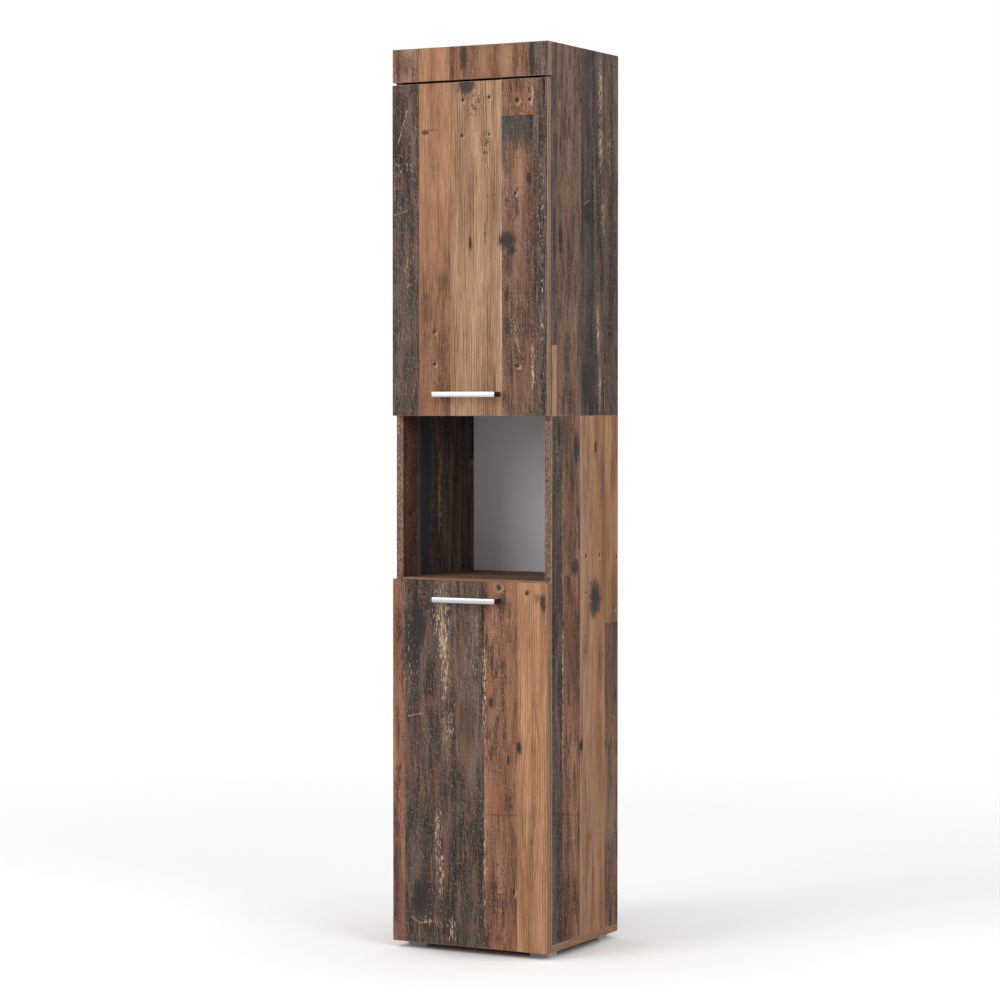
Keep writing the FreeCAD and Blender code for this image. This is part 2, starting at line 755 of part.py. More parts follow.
OUTER_FACE = -HALF_WIDTH
CUP_X = OUTER_FACE + S.door_reveal + S.cup_from_door_edge
CUP_SCREW_X = CUP_X + S.cup_screw_offset
PLATE_X = OUTER_FACE + S.board
RAIL_TOP = PLATE_X + S.rail_height
ARM_BOTTOM = PLATE_X + S.arm_lift
ARM_TOP = PLATE_X + S.arm_top
NOSE_TOP = PLATE_X + S.arm_nose_top
PLATE_Y = FRONT + S.plate_setback

plates = []
arm_pins = []
cup_pins = []
outer_links = []
inner_links = []
plate_screws = []
arm_screws = []
HINGES = {
    "upper": {"high": UPPER_DOOR_TOP - S.hinge_from_door_end, "low": JOINT + S.hinge_from_door_end},
    "lower": {"high": LOWER_DOOR_TOP - S.hinge_from_door_end,
              "low": S.foot_height + S.hinge_from_door_end},
}
EYES = {
    "outer_arm": (OUTER_FACE + S.outer_arm_pin_across, FRONT + S.outer_arm_pin_back),
    "outer_cup": (OUTER_FACE + S.outer_cup_pin_across, FRONT - S.outer_cup_pin_forward),
    "inner_arm": (OUTER_FACE + S.inner_arm_pin_across, FRONT + S.inner_arm_pin_back),
    "inner_cup": (OUTER_FACE + S.inner_cup_pin_across, FRONT - S.inner_cup_pin_forward),
}
PIN_HOLE = S.hinge_pin_radius + S.hinge_pin_clearance


def build_plate(name, side_board, height):
    """A mounting plate: two wings with a screw each, and a rail that carries the arm."""
    wing = box(name + "_wing",
               (PLATE_X, PLATE_Y - S.plate_wing_width / 2, height - S.plate_wing_length / 2),
               (S.plate_sheet, S.plate_wing_width, S.plate_wing_length))
    rail = box(name + "_rail", (PLATE_X, FRONT + S.rail_front, height - S.rail_width / 2),
               (S.rail_height, S.rail_back - S.rail_front, S.rail_width))
    tools = []
    for sign in (-1, 1):
        seat = (PLATE_X + S.plate_sheet, PLATE_Y, height + S.plate_screw_spacing / 2 * sign)
        tools.append(rod("%s_hole_%s" % (name, "low" if sign < 0 else "high"), seat, "-X",
                         S.wood_screw_radius + S.drill_clearance, S.plate_sheet))
        add_screw(plate_screws, "plate_screw", seat, "-X", S.plate_sheet + S.wood_screw_length,
                  [(side_board, S.plate_sheet, S.wood_screw_length + S.drill_clearance)])
    tools.append(rod(name + "_thread", (RAIL_TOP, FRONT + S.arm_screw_setback, height), "-X",
                     S.arm_screw_radius + S.drill_clearance, S.rail_height))
    plates.append(cut(name, fuse(name + "_blank", [wing, rail]), tools))


def build_arm(name, height):
    """The arm: a channel open towards the rail, with a nose that holds the two link pins."""
    body = new_body(name)
    outline = new_sketch(body, name + "_outline", "XY_Plane")
    back = FRONT + S.rail_back
    shoulder = FRONT + S.arm_shoulder
    nose_back = FRONT + S.arm_nose_back
    nose_front = FRONT + S.arm_nose_front
    draw_outline(outline, [(ARM_BOTTOM, back), (ARM_BOTTOM, nose_front), (NOSE_TOP, nose_front),
                           (NOSE_TOP, nose_back), (ARM_TOP, shoulder), (ARM_TOP, back)])
    pad(body, outline, S.arm_width, both_ways=True)
    channel = new_sketch(body, name + "_channel", "XY_Plane")
    under = ARM_BOTTOM - S.cut_overshoot
    beyond = back + S.cut_overshoot
    ahead = nose_front - S.cut_overshoot
    draw_outline(channel, [(under, beyond), (under, ahead), (NOSE_TOP - S.arm_sheet, ahead),
                           (NOSE_TOP - S.arm_sheet, nose_back - S.arm_sheet / 2),
                           (ARM_TOP - S.arm_sheet, shoulder - S.arm_sheet / 2),
                           (ARM_TOP - S.arm_sheet, beyond)])
    pocket(body, channel, S.arm_width - 2 * S.arm_sheet, both_ways=True)
    eyes = new_sketch(body, name + "_eyes", "XY_Plane")
    draw_circle(eyes, EYES["outer_arm"], PIN_HOLE)
    draw_circle(eyes, EYES["inner_arm"], PIN_HOLE)
    pocket(body, eyes, S.arm_width + S.cut_overshoot, both_ways=True)
    threads = new_sketch(body, name + "_screw_holes", "YZ_Plane")
    for setback in (S.arm_screw_setback, S.arm_adjuster_setback):
        draw_circle(threads, (FRONT + setback, 0), S.arm_screw_radius + S.drill_clearance)
    pocket(body, threads, S.overall_width, both_ways=True)
    place(body, (ZERO, ZERO, height))
    node(name, body)

    for eye in ("outer_arm", "inner_arm"):
        start = EYES[eye] + (height - S.arm_width / 2 - S.hinge_pin_overhang,)
        arm_pins.append(rod("arm_pin_%d" % (len(arm_pins) + 1), start, "+Z", S.hinge_pin_radius,
                            S.arm_width + 2 * S.hinge_pin_overhang))
    fixing = (ARM_TOP, FRONT + S.arm_screw_setback, height)
    adjuster = (ARM_TOP, FRONT + S.arm_adjuster_setback, height)
    for seat, length in ((fixing, S.arm_top - S.plate_sheet), (adjuster, ARM_TOP - RAIL_TOP)):
        add_screw(arm_screws, "arm_screw", seat, "-X", length, [], shank=S.arm_screw_radius,
                  head=S.arm_screw_head, head_height=S.arm_screw_head_height)


def build_links(name, height):
    """The two links between the arm's pins and the cup's pins."""
    for kind, links in (("outer", outer_links), ("inner", inner_links)):
        body = new_body("%s_%s_link" % (name, kind))
        outline = new_sketch(body, body.Name + "_outline", "XY_Plane")
        arm_eye = EYES[kind + "_arm"]
        cup_eye = EYES[kind + "_cup"]
        draw_link(outline, arm_eye, cup_eye, S.link_half_width)
        pad(body, outline, S.link_width, both_ways=True)
        eyes = new_sketch(body, body.Name + "_eyes", "XY_Plane")
        draw_circle(eyes, arm_eye, PIN_HOLE)
        draw_circle(eyes, cup_eye, PIN_HOLE)
        pocket(body, eyes, S.link_width + S.cut_overshoot, both_ways=True)
        place(body, (ZERO, ZERO, height))
        links.append(body)
        cup_pins.append(rod("cup_pin_%d" % (len(cup_pins) + 1), cup_eye + (height - S.cup_pin_length / 2,),
                            "+Z", S.hinge_pin_radius, S.cup_pin_length))


def build_cup(name, door, height, screws):
    """The pressed cup with its rim, its screw flange and the two ears beside the links."""
    mouth = (CUP_X, DOOR_INNER, height)
    shell = rod(name + "_shell", mouth, "-Y", S.cup_radius, S.cup_depth)
    rim = rod(name + "_rim", mouth, "+Y", S.cup_radius + S.cup_rim, S.cup_flange_thickness)
    flange = box(name + "_flange",
                 (CUP_X + S.cup_flange_offset - S.cup_flange_width / 2, DOOR_INNER,
                  height - S.cup_flange_length / 2),
                 (S.cup_flange_width, S.cup_flange_thickness, S.cup_flange_length))
    floor = shift(mouth, "-Y", S.cup_depth - S.cup_sheet)
    hollow = rod(name + "_hollow", floor, "+Y", S.cup_radius - S.cup_sheet,
                 S.cup_depth - S.cup_sheet + S.cup_flange_thickness + S.cut_overshoot)
    tools = [hollow]
    for sign in (-1, 1):
        seat = (CUP_SCREW_X, DOOR_INNER + S.cup_flange_thickness,
                height + S.cup_screw_spacing / 2 * sign)
        tools.append(rod("%s_hole_%s" % (name, "low" if sign < 0 else "high"), seat, "-Y",
                         S.wood_screw_radius + S.drill_clearance, S.cup_flange_thickness))
        add_screw(screws, door + "_cup_screw", seat, "-Y", S.cup_flange_thickness + S.wood_screw_length,
                  [(door, S.cup_flange_thickness, S.wood_screw_length + S.drill_clearance)])
    pressing = cut(name + "_pressing", fuse(name + "_blank", [shell, rim, flange]), tools)
    ears = []
    for label, low in (("high", S.cup_ear_inside), ("low", -S.cup_ear_inside - S.cup_ear_sheet)):
        ears.append(box("%s_ear_%s" % (name, label),
                        (CUP_X - S.cup_ear_length / 2, floor[1], height + low),
                        (S.cup_ear_length, S.cup_ear_height, S.cup_ear_sheet)))
    node(name, fuse(name, [pressing] + ears))
    drill(door, mouth, "-Y", S.cup_radius + S.drill_clearance, S.cup_depth + S.drill_clearance)


for level, places in HINGES.items():
    cup_screws = []
    for spot, height in places.items():
        name = "%s_door_hinge_%s" % (level, spot)
        side = LOWER_SIDES["left"] if level == "lower" else UPPER_SIDES["left"]
        build_plate(name + "_plate", side, height)
        build_arm(name + "_arm", height)
        build_links(name, height)
        build_cup(name + "_cup", level + "_door", height, cup_screws)
    node(level + "_door_cup_screws", group(level + "_door_cup_screws", cup_screws))
node("hinge_plates", group("hinge_plates", plates))
node("hinge_outer_links", group("hinge_outer_links", outer_links))
node("hinge_inner_links", group("hinge_inner_links", inner_links))
node("hinge_arm_pins", group("hinge_arm_pins", arm_pins))
node("hinge_cup_pins", group("hinge_cup_pins", cup_pins))
node("hinge_plate_screws", group("hinge_plate_screws", plate_screws))
node("hinge_arm_screws", group("hinge_arm_screws", arm_screws))

# ---------------------------------------------------------------------------------------------
# Back panels and their nails
# ---------------------------------------------------------------------------------------------

BACK_WIDTH = S.overall_width - 2 * S.back_inset
BACK_PANELS = {
    "lower_back_panel": (S.foot_height + S.back_inset, BACK_SPLIT - S.back_split_gap / 2),
    "upper_back_panel": (BACK_SPLIT + S.back_split_gap / 2, S.overall_height - S.back_inset),
}
NAIL_SEAT = REAR + S.back_thickness
nails = []


def add_nail(across, height, panel, board):
    """A nail through a back panel into the rear edge of a board, its head flush with the panel."""
    name = "nail_%d" % (len(nails) + 1)
    seat = (across, NAIL_SEAT, height)
    stem = rod(name + "_stem", seat, "-Y", S.nail_radius, S.nail_length)
    head = rod(name + "_head", seat, "-Y", S.nail_head_radius, S.nail_head_height)
    nails.append(fuse(name, [stem, head]))
    drill(panel, seat, "-Y", S.nail_radius + S.drill_clearance, S.back_thickness)
    drill(panel, seat, "-Y", S.nail_head_radius + S.drill_clearance, S.nail_head_height)
    drill(board, shift(seat, "-Y", S.back_thickness), "-Y", S.nail_radius + S.drill_clearance,
          S.nail_length - S.back_thickness + S.drill_clearance)


NAIL_RUNS = {
    "lower_back_panel": (BASE_TOP, JOINT, LOWER_SIDES),
    "upper_back_panel": (UPPER_FLOOR_TOP, TOP_UNDERSIDE, UPPER_SIDES),
}
for panel, (low, high, sides) in NAIL_RUNS.items():
    first = low + S.nail_end_inset
    run = high - S.nail_end_inset - first
    steps = max(1, round(run.value / S.nail_spacing.value))
    for hand in HANDS:
        for step in range(steps + 1):
            add_nail(SIDE_MIDDLE[hand], first + run * (step / steps), panel, sides[hand])
for across in (-S.nail_board_offset, S.nail_board_offset):
    add_nail(across, S.foot_height + S.board / 2, "lower_back_panel", "base_panel")
    add_nail(across, NICHE_FLOOR_BOTTOM + S.board / 2, "lower_back_panel", "niche_floor")
    add_nail(across, JOINT + S.nail_joint_offset, "lower_back_panel", "upper_floor")
    add_nail(across, UPPER_FLOOR_TOP - S.nail_joint_offset, "upper_back_panel", "upper_floor")
    add_nail(across, TOP_UNDERSIDE + S.board / 2, "upper_back_panel", "top_panel")
node("back_nails", group("back_nails", nails))

# ---------------------------------------------------------------------------------------------
# Small fittings as groups, and the soft dots on the free side's front edge
# ---------------------------------------------------------------------------------------------

node("dowels", group("dowels", dowel_rods))
node("cam_locks", group("cam_locks", cam_solids))
node("cam_bolts", group("cam_bolts", bolt_solids))
node("cam_caps", group("cam_caps", cap_solids))

bumpers = []
for height in (S.foot_height + S.bumper_from_door_end, LOWER_DOOR_TOP - S.bumper_from_door_end,
               JOINT + S.bumper_from_door_end, UPPER_DOOR_TOP - S.bumper_from_door_end):
    bumpers.append(rod("bumper_%d" % (len(bumpers) + 1), (SIDE_MIDDLE["right"], FRONT, height), "-Y",
                       S.bumper_radius, S.bumper_thickness))
node("door_bumpers", group("door_bumpers", bumpers))

# ---------------------------------------------------------------------------------------------
# Boards and doors, cut with the holes that their fittings asked for
# ---------------------------------------------------------------------------------------------

INNER_WIDTH = S.overall_width - 2 * S.board
BOARDS = {
    "base_panel": ((-HALF_WIDTH, FRONT, S.foot_height), (S.overall_width, S.side_depth, S.board)),
    "niche_floor": ((INNER_FACE["left"], FRONT, NICHE_FLOOR_BOTTOM), (INNER_WIDTH, S.side_depth, S.board)),
    "upper_floor": ((INNER_FACE["left"], FRONT, JOINT), (INNER_WIDTH, S.side_depth, S.board)),
    "top_panel": ((INNER_FACE["left"], FRONT, TOP_UNDERSIDE), (INNER_WIDTH, S.side_depth, S.board)),
    "fascia": ((-HALF_WIDTH, FRONT - S.fascia_thickness, S.overall_height - S.fascia_height),
               (S.overall_width, S.fascia_thickness, S.fascia_height)),
}
for hand in HANDS:
    outer = -HALF_WIDTH if hand == "left" else HALF_WIDTH - S.board
    BOARDS[LOWER_SIDES[hand]] = ((outer, FRONT, BASE_TOP), (S.board, S.side_depth, JOINT - BASE_TOP))
    BOARDS[UPPER_SIDES[hand]] = ((outer, FRONT, JOINT), (S.board, S.side_depth, S.overall_height - JOINT))
for panel, (low, high) in BACK_PANELS.items():
    BOARDS[panel] = ((S.back_inset - HALF_WIDTH, REAR, low), (BACK_WIDTH, S.back_thickness, high - low))
for door, low, door_height in (("lower_door", S.foot_height, S.lower_door_height),
                               ("upper_door", JOINT, UPPER_DOOR_HEIGHT)):
    BOARDS[door] = ((S.door_reveal - HALF_WIDTH, DOOR_OUTER, low),
                    (S.overall_width - 2 * S.door_reveal, S.door_thickness, door_height))

for name, (corner, extent) in BOARDS.items():
    node(name, cut(name, box(name + "_blank", corner, extent), holes.get(name)))

# ---------------------------------------------------------------------------------------------
# Check every object, then write each sub-part
# ---------------------------------------------------------------------------------------------

doc.recompute()
for item in doc.Objects:
    if "Invalid" in item.State or "Error" in item.State:
        raise RuntimeError("%s failed: %s" % (item.Name, item.State))
for name, piece in nodes.items():
    if piece.Shape.isNull() or not piece.Shape.isValid() or not piece.Shape.Solids:
        raise RuntimeError(name + " has no sound shape")

os.makedirs("parts", exist_ok=True)
for name, piece in nodes.items():
    piece.Shape.exportStep("parts/%s.step" % name)
    print("%-28s %3d solid(s) %12.1f mm3" % (name, len(piece.Shape.Solids), piece.Shape.Volume))
print(len(nodes), "nodes")
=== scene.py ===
# %% [markdown]
# # A tall cabinet in reclaimed-board decor
# The cabinet's boards, hinges and fittings come in as a fixed frame, in metres, with the floor at z = 0
# and the front looking along -Y. Here they get their finishes, softened edges, camera and light.

# %% Load the frame and keep its size
import math
from collections import namedtuple
import bpy
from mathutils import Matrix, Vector


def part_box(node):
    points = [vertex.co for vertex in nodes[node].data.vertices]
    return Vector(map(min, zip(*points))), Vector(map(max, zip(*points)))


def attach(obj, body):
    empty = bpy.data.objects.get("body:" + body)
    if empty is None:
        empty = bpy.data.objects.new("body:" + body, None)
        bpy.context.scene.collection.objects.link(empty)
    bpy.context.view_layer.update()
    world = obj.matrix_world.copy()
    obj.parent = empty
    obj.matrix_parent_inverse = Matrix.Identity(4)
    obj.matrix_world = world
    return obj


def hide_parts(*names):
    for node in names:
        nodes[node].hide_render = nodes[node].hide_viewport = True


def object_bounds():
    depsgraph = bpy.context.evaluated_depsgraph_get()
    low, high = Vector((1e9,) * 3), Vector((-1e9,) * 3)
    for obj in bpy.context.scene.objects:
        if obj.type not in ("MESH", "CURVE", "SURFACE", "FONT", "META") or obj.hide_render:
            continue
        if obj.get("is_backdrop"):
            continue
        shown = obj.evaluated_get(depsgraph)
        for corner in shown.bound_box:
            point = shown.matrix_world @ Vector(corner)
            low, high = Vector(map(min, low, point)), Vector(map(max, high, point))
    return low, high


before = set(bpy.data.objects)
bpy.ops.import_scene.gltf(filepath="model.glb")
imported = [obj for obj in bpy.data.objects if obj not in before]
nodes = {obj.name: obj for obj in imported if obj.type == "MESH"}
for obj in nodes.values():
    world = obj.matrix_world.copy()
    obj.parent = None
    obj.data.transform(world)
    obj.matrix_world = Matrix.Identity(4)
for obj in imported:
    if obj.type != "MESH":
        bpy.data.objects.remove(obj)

cad_low, cad_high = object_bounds()


def middle_of(low, high):
    """The place half-way between two corners."""
    return [(start + end) / 2 for start, end in zip(low, high)]


def size_of(low, high):
    """The way from one corner to the other."""
    return [end - start for start, end in zip(low, high)]


print("frame:", len(nodes), "nodes,", [round(side, 4) for side in size_of(cad_low, cad_high)])

# %% [markdown]
# ## Camera
# The photograph looks at the cabinet from the front right, from breast height and from far away, so
# that its edges hardly converge. A long lens gives that calm perspective. A small vertical shift moves
# the picture without tilting the camera, which keeps the boards upright.

# %% Place the camera
CAMERA_PLACE = (3.108, -5.8044, 1.1581)
CAMERA_TILT = math.radians(-1.363)
CAMERA_TURN = math.radians(28.231)
SENSOR_WIDTH = 36
FOCAL_LENGTH = 111.15
PICTURE_SHIFT = -0.025
eye = bpy.data.cameras.new("eye")
eye.sensor_width = SENSOR_WIDTH
eye.lens = FOCAL_LENGTH
eye.shift_y = PICTURE_SHIFT
camera = bpy.data.objects.new("camera", eye)
camera.location = CAMERA_PLACE
camera.rotation_euler = (math.pi / 2 + CAMERA_TILT, 0, CAMERA_TURN)
bpy.context.scene.collection.objects.link(camera)
bpy.context.scene.camera = camera
bpy.context.scene.view_settings.view_transform = "Standard"
print("camera at", CAMERA_PLACE, "with a lens of", FOCAL_LENGTH)

# %% [markdown]
# ## A bench for node finishes
# A finish is a small recipe of nodes. Writing every node by hand takes four lines each, so this bench
# adds a node, fills its sockets and hands back its output. A recipe then reads like a sum.

# %% Set up the bench
class Bench:
    """Adds nodes to one tree and hands back their outputs."""

    def __init__(self, tree):
        self.tree = tree

    def fill(self, node, inputs):
        for socket, value in inputs.items():
            if isinstance(value, bpy.types.NodeSocket):
                self.tree.links.new(value, node.inputs[socket])
            else:
                node.inputs[socket].default_value = value
        return node

    def put(self, kind, inputs=None, **settings):
        node = self.tree.nodes.new("ShaderNode" + kind)
        for name, value in settings.items():
            setattr(node, name, value)
        return self.fill(node, inputs or {})

    def math(self, operation, *values, clamp=False):
        inputs = dict(enumerate(values))
        return self.put("Math", inputs, operation=operation, use_clamp=clamp).outputs[0]

    def times(self, first, *others):
        for other in others:
            first = self.math("MULTIPLY", first, other)
        return first

    def vector(self, operation, *values, result="Vector"):
        return self.put("VectorMath", dict(enumerate(values)), operation=operation).outputs[result]

    def parts(self, vector):
        return self.put("SeparateXYZ", {0: vector}).outputs

    def channels(self, colour):
        return self.put("SeparateColor", {0: colour}).outputs

    def fade(self, value, start, end):
        inputs = {"Value": value, "From Min": start, "From Max": end}
        return self.put("MapRange", inputs, interpolation_type="SMOOTHSTEP").outputs["Result"]

    def paint(self, under, over, amount, mode="MIX"):
        # a Mix node has a set of sockets for each kind of data; 6, 7 and output 2 are those for colours
        inputs = {0: amount, 6: under, 7: over}
        return self.put("Mix", inputs, data_type="RGBA", blend_type=mode).outputs[2]

    def noise(self, place, size, detail=2.0, roughness=0.5):
        scaled = self.vector("MULTIPLY", place, tuple(1 / length for length in size))
        inputs = {"Vector": scaled, "Scale": 1.0, "Detail": detail, "Roughness": roughness}
        return self.put("TexNoise", inputs).outputs["Fac"]


print("the bench has", len([word for word in dir(Bench) if word[0] != "_"]), "tools")

# %% [markdown]
# Every finish begins with an empty tree and ends in one surface. The end is the same for wood, metal
# and plastic: a colour, a gloss that changes a little from place to place, and a fine relief.

# %% Open and close a finish
def tone(red, green, blue):
    """A colour as a paint chart gives it, from 0 to 255, made linear for the nodes."""
    shares = [part / 255 for part in (red, green, blue)]
    linear = [share / 12.92 if share <= 0.04045 else ((share + 0.055) / 1.055) ** 2.4 for share in shares]
    return (*linear, 1.0)


def new_finish(name):
    """A fresh material with an empty bench."""
    finish = bpy.data.materials.new(name)
    finish.use_nodes = True
    finish.node_tree.nodes.clear()
    return finish, Bench(finish.node_tree)


def close_finish(bench, colour, gloss, relief, extras):
    """Gloss is a pattern and its two roughnesses; relief is a pattern, its strength and its depth."""
    pattern, smoothest, roughest = gloss
    rough = bench.put("MapRange", {"Value": pattern, "To Min": smoothest, "To Max": roughest})
    height, strength, depth = relief
    bump = bench.put("Bump", {"Strength": strength, "Distance": depth, "Height": height})
    surface = bench.put("BsdfPrincipled", {
        "Base Color": colour, "Roughness": rough.outputs["Result"], "Normal": bump.outputs[0], **extras})
    bench.put("OutputMaterial", {"Surface": surface.outputs[0]})


def millimetres(bench):
    """The place on the piece in millimetres, from its own coordinates."""
    return bench.vector("MULTIPLY", bench.put("TexCoord").outputs["Object"], (1000, 1000, 1000))


print("a mid grey is", round(tone(128, 128, 128)[0], 3), "in linear light")

# %% [markdown]
# ## Light, background and floor
# A studio shot of furniture is lit by large soft boxes, so shadows are wide and pale. The world gives
# even light from everywhere. What the camera, gloss and glass see of it is plain white.

# %% Light the world
WORLD_LEVEL = 0.52
world = bpy.data.worlds.new("studio")
bpy.context.scene.world = world
world.use_nodes = True
world.node_tree.nodes.clear()
sky = Bench(world.node_tree)
rays = sky.put("LightPath").outputs
seen = sky.math("MAXIMUM", rays["Is Camera Ray"], rays["Is Glossy Ray"])
seen = sky.math("MAXIMUM", seen, rays["Is Transmission Ray"])
level = sky.math("MULTIPLY_ADD", seen, 1 - WORLD_LEVEL, WORLD_LEVEL)
glow = sky.put("Background", {"Color": (1, 1, 1, 1), "Strength": level})
sky.put("OutputWorld", {"Surface": glow.outputs[0]})


def soft_box(name, place, aim, size, power):
    """A square lamp that faces its aim."""
    lamp = bpy.data.lights.new(name, "AREA")
    lamp.shape = "SQUARE"
    lamp.size = size
    lamp.energy = power
    holder = bpy.data.objects.new(name, lamp)
    holder.location = place
    holder.rotation_euler = (Vector(aim) - Vector(place)).to_track_quat("-Z", "Y").to_euler()
    bpy.context.scene.collection.objects.link(holder)


heart = middle_of(cad_low, cad_high)
soft_box("key_light", place=(-2.2, -4.2, 2.7), aim=heart, size=2.6, power=84)
soft_box("side_light", place=(3.6, -1.8, 2.4), aim=heart, size=2.0, power=34)
print("world at", WORLD_LEVEL, "and two soft boxes")

# %% [markdown]
# The floor is a plain pale sheet that keeps the cabinet's shadow. What the camera sees of it is a
# little lighter than what lights the cabinet, and far away it fades to white, so that it runs into the
# background without an edge. Close to the cabinet the lift and the white are left out and grow with the
# distance, which is painted shade: the floor under and around the base is darker. Each pair of numbers
# gives the distances from the cabinet, in metres, at which a change starts and is complete.

# %% Lay the floor
FLOOR_SIZE = 60
LIFTED = (1.5, 1.5, 1.5, 1.0)
LIFT_STARTS = (0.12, 0.24)
LIFT_GROWS = (0.4, 1.0)
HAZE_STARTS = (0.2, 0.6)
HAZE_CLOSES = (1.2, 3.4)
NEAR_HAZE = 0.14
NEAR_LIFT = 0.84
FAR_LIFT = 0.98
CLOUD = (900, 900, 900)
floor_finish, bench = new_finish("floor_paint")
distance = bench.vector("LENGTH", bench.put("TexCoord").outputs["Object"], result="Value")
camera_ray = bench.put("LightPath").outputs["Is Camera Ray"]
grain = bench.noise(millimetres(bench), CLOUD)
floor_colour = bench.paint(tone(234, 236, 238), tone(238, 240, 242), grain)
# no lift under the cabinet and less near it: painted shade that darkens the floor around the base
further = bench.math("MULTIPLY_ADD", bench.fade(distance, *LIFT_GROWS), FAR_LIFT - NEAR_LIFT, NEAR_LIFT)
lift = bench.times(camera_ray, bench.fade(distance, *LIFT_STARTS), further)
paint = bench.put("BsdfDiffuse", {"Color": bench.paint(floor_colour, LIFTED, lift)})
white = bench.put("Emission", {"Color": (1, 1, 1, 1), "Strength": 1.0})
near = bench.times(bench.fade(distance, *HAZE_STARTS), NEAR_HAZE)
haze = bench.math("MULTIPLY_ADD", bench.fade(distance, *HAZE_CLOSES), 1 - NEAR_HAZE, near)
both = bench.put("MixShader", {
    0: bench.times(camera_ray, haze), 1: paint.outputs[0], 2: white.outputs[0]})
bench.put("OutputMaterial", {"Surface": both.outputs[0]})
bpy.ops.object.select_all(action="DESELECT")
bpy.ops.mesh.primitive_plane_add(size=FLOOR_SIZE)
floor = bpy.context.object
floor.name = "floor"
floor.data.materials.append(floor_finish)
floor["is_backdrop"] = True
print("floor:", FLOOR_SIZE, "metres wide")

# %% [markdown]
# ## The printed boards
# The cabinet is chipboard with a printed film that shows many reclaimed planks side by side. A print
# is described here in millimetres, as a carpenter would: strips from left to right, each with a kind
# of plank, then patches, knots, nails, stains, chipped paint, scratches and saw marks at their places.

# %% Mix the planks' tones
# each kind: dark tone, light tone, share of dark grain lines, share of weathering
KINDS = {
    "honey": (tone(146, 98, 71), tone(202, 152, 115), 0.30, 0.16),
    "pale_honey": (tone(150, 108, 82), tone(210, 167, 133), 0.70, 0.20),
    "orange": (tone(158, 108, 76), tone(215, 163, 122), 0.50, 0.12),
    "amber": (tone(108, 72, 54), tone(182, 130, 100), 0.40, 0.60),
    "rust": (tone(104, 66, 50), tone(186, 134, 107), 0.30, 1.00),
    "deep_red": (tone(60, 38, 30), tone(116, 78, 62), 0.30, 0.70),
    "umber": (tone(82, 58, 48), tone(172, 130, 108), 0.35, 0.90),
    "red_brown": (tone(104, 77, 66), tone(158, 124, 108), 0.20, 0.90),
    "speckled": (tone(96, 66, 54), tone(194, 150, 122), 0.10, 1.00),
    "charcoal": (tone(38, 33, 32), tone(128, 108, 98), 0.30, 0.90),
    "slate": (tone(42, 41, 42), tone(100, 93, 89), 0.25, 0.60),
    "grey_brown": (tone(62, 51, 46), tone(140, 119, 106), 0.40, 0.85),
    "pale_edge": (tone(160, 130, 106), tone(214, 184, 156), 0.10, 0.30),
}
print(len(KINDS), "kinds of plank")

# %% [markdown]
# Spots, patches and scratches come up again and again, so each is a node group. A group takes the
# place on the board in millimetres and gives back a mask: 1 inside the mark, 0 outside.

# %% Build the groups for marks
def new_group(name, vectors, floats):
    """An empty node group with the named inputs and one mask as its output."""
    tree = bpy.data.node_groups.new(name, "ShaderNodeTree")
    for kind, sockets in (("NodeSocketVector", vectors), ("NodeSocketFloat", floats)):
        for socket in sockets:
            tree.interface.new_socket(socket, in_out="INPUT", socket_type=kind)
    tree.interface.new_socket("Mask", in_out="OUTPUT", socket_type="NodeSocketFloat")
    group_in = tree.nodes.new("NodeGroupInput")
    group_out = tree.nodes.new("NodeGroupOutput")
    return tree, Bench(tree), group_in.outputs, group_out.inputs["Mask"]


SPOT_RAGS = 1.1
SPOT, bench, given, mask = new_group("spot", ("Place", "Centre", "Reach"), ("Ragged", "Softness"))
offset = bench.vector("DIVIDE", bench.vector("SUBTRACT", given["Place"], given["Centre"]), given["Reach"])
distance = bench.math("MULTIPLY_ADD", bench.math("SUBTRACT", given["Ragged"], 0.5), SPOT_RAGS,
                      bench.vector("LENGTH", offset, result="Value"))
inner = bench.math("SUBTRACT", 1.0, given["Softness"])
SPOT.links.new(bench.fade(distance, 1.0, inner), mask)

PATCH, bench, given, mask = new_group("patch", ("Place", "Low", "High", "Feather"), ())
above = bench.vector("SUBTRACT", given["Place"], given["Low"])
below = bench.vector("SUBTRACT", given["High"], given["Place"])
depth = bench.parts(bench.vector("DIVIDE", bench.vector("MINIMUM", above, below), given["Feather"]))
PATCH.links.new(bench.fade(bench.math("MINIMUM", depth["X"], depth["Y"]), -1.0, 1.0), mask)

SCRATCH, bench, given, mask = new_group("scratch", ("Place", "Start", "End"), ("Width",))
along = bench.vector("SUBTRACT", given["End"], given["Start"])
reach = bench.vector("SUBTRACT", given["Place"], given["Start"])
share = bench.math("DIVIDE", bench.vector("DOT_PRODUCT", reach, along, result="Value"),
                   bench.vector("DOT_PRODUCT", along, along, result="Value"), clamp=True)
foot = bench.put("VectorMath", {0: along, "Scale": share}, operation="SCALE").outputs["Vector"]
gap = bench.vector("LENGTH", bench.vector("SUBTRACT", reach, foot), result="Value")
SCRATCH.links.new(bench.fade(gap, given["Width"], bench.times(given["Width"], 0.3)), mask)
print("groups:", SPOT.name, PATCH.name, SCRATCH.name)

# %% [markdown]
# A film is the bench of one print. It knows the place on the board, first across the planks and then
# along them, and a ragged noise that frays the borders of every mark. Everything reads the board's own
# coordinates, so the pattern sits on the board like real film.

# %% Stretch the film
# sizes across and along the planks, in millimetres
RAGGED = (7, 12, 10)
FLAKES = (3.2, 17, 10)


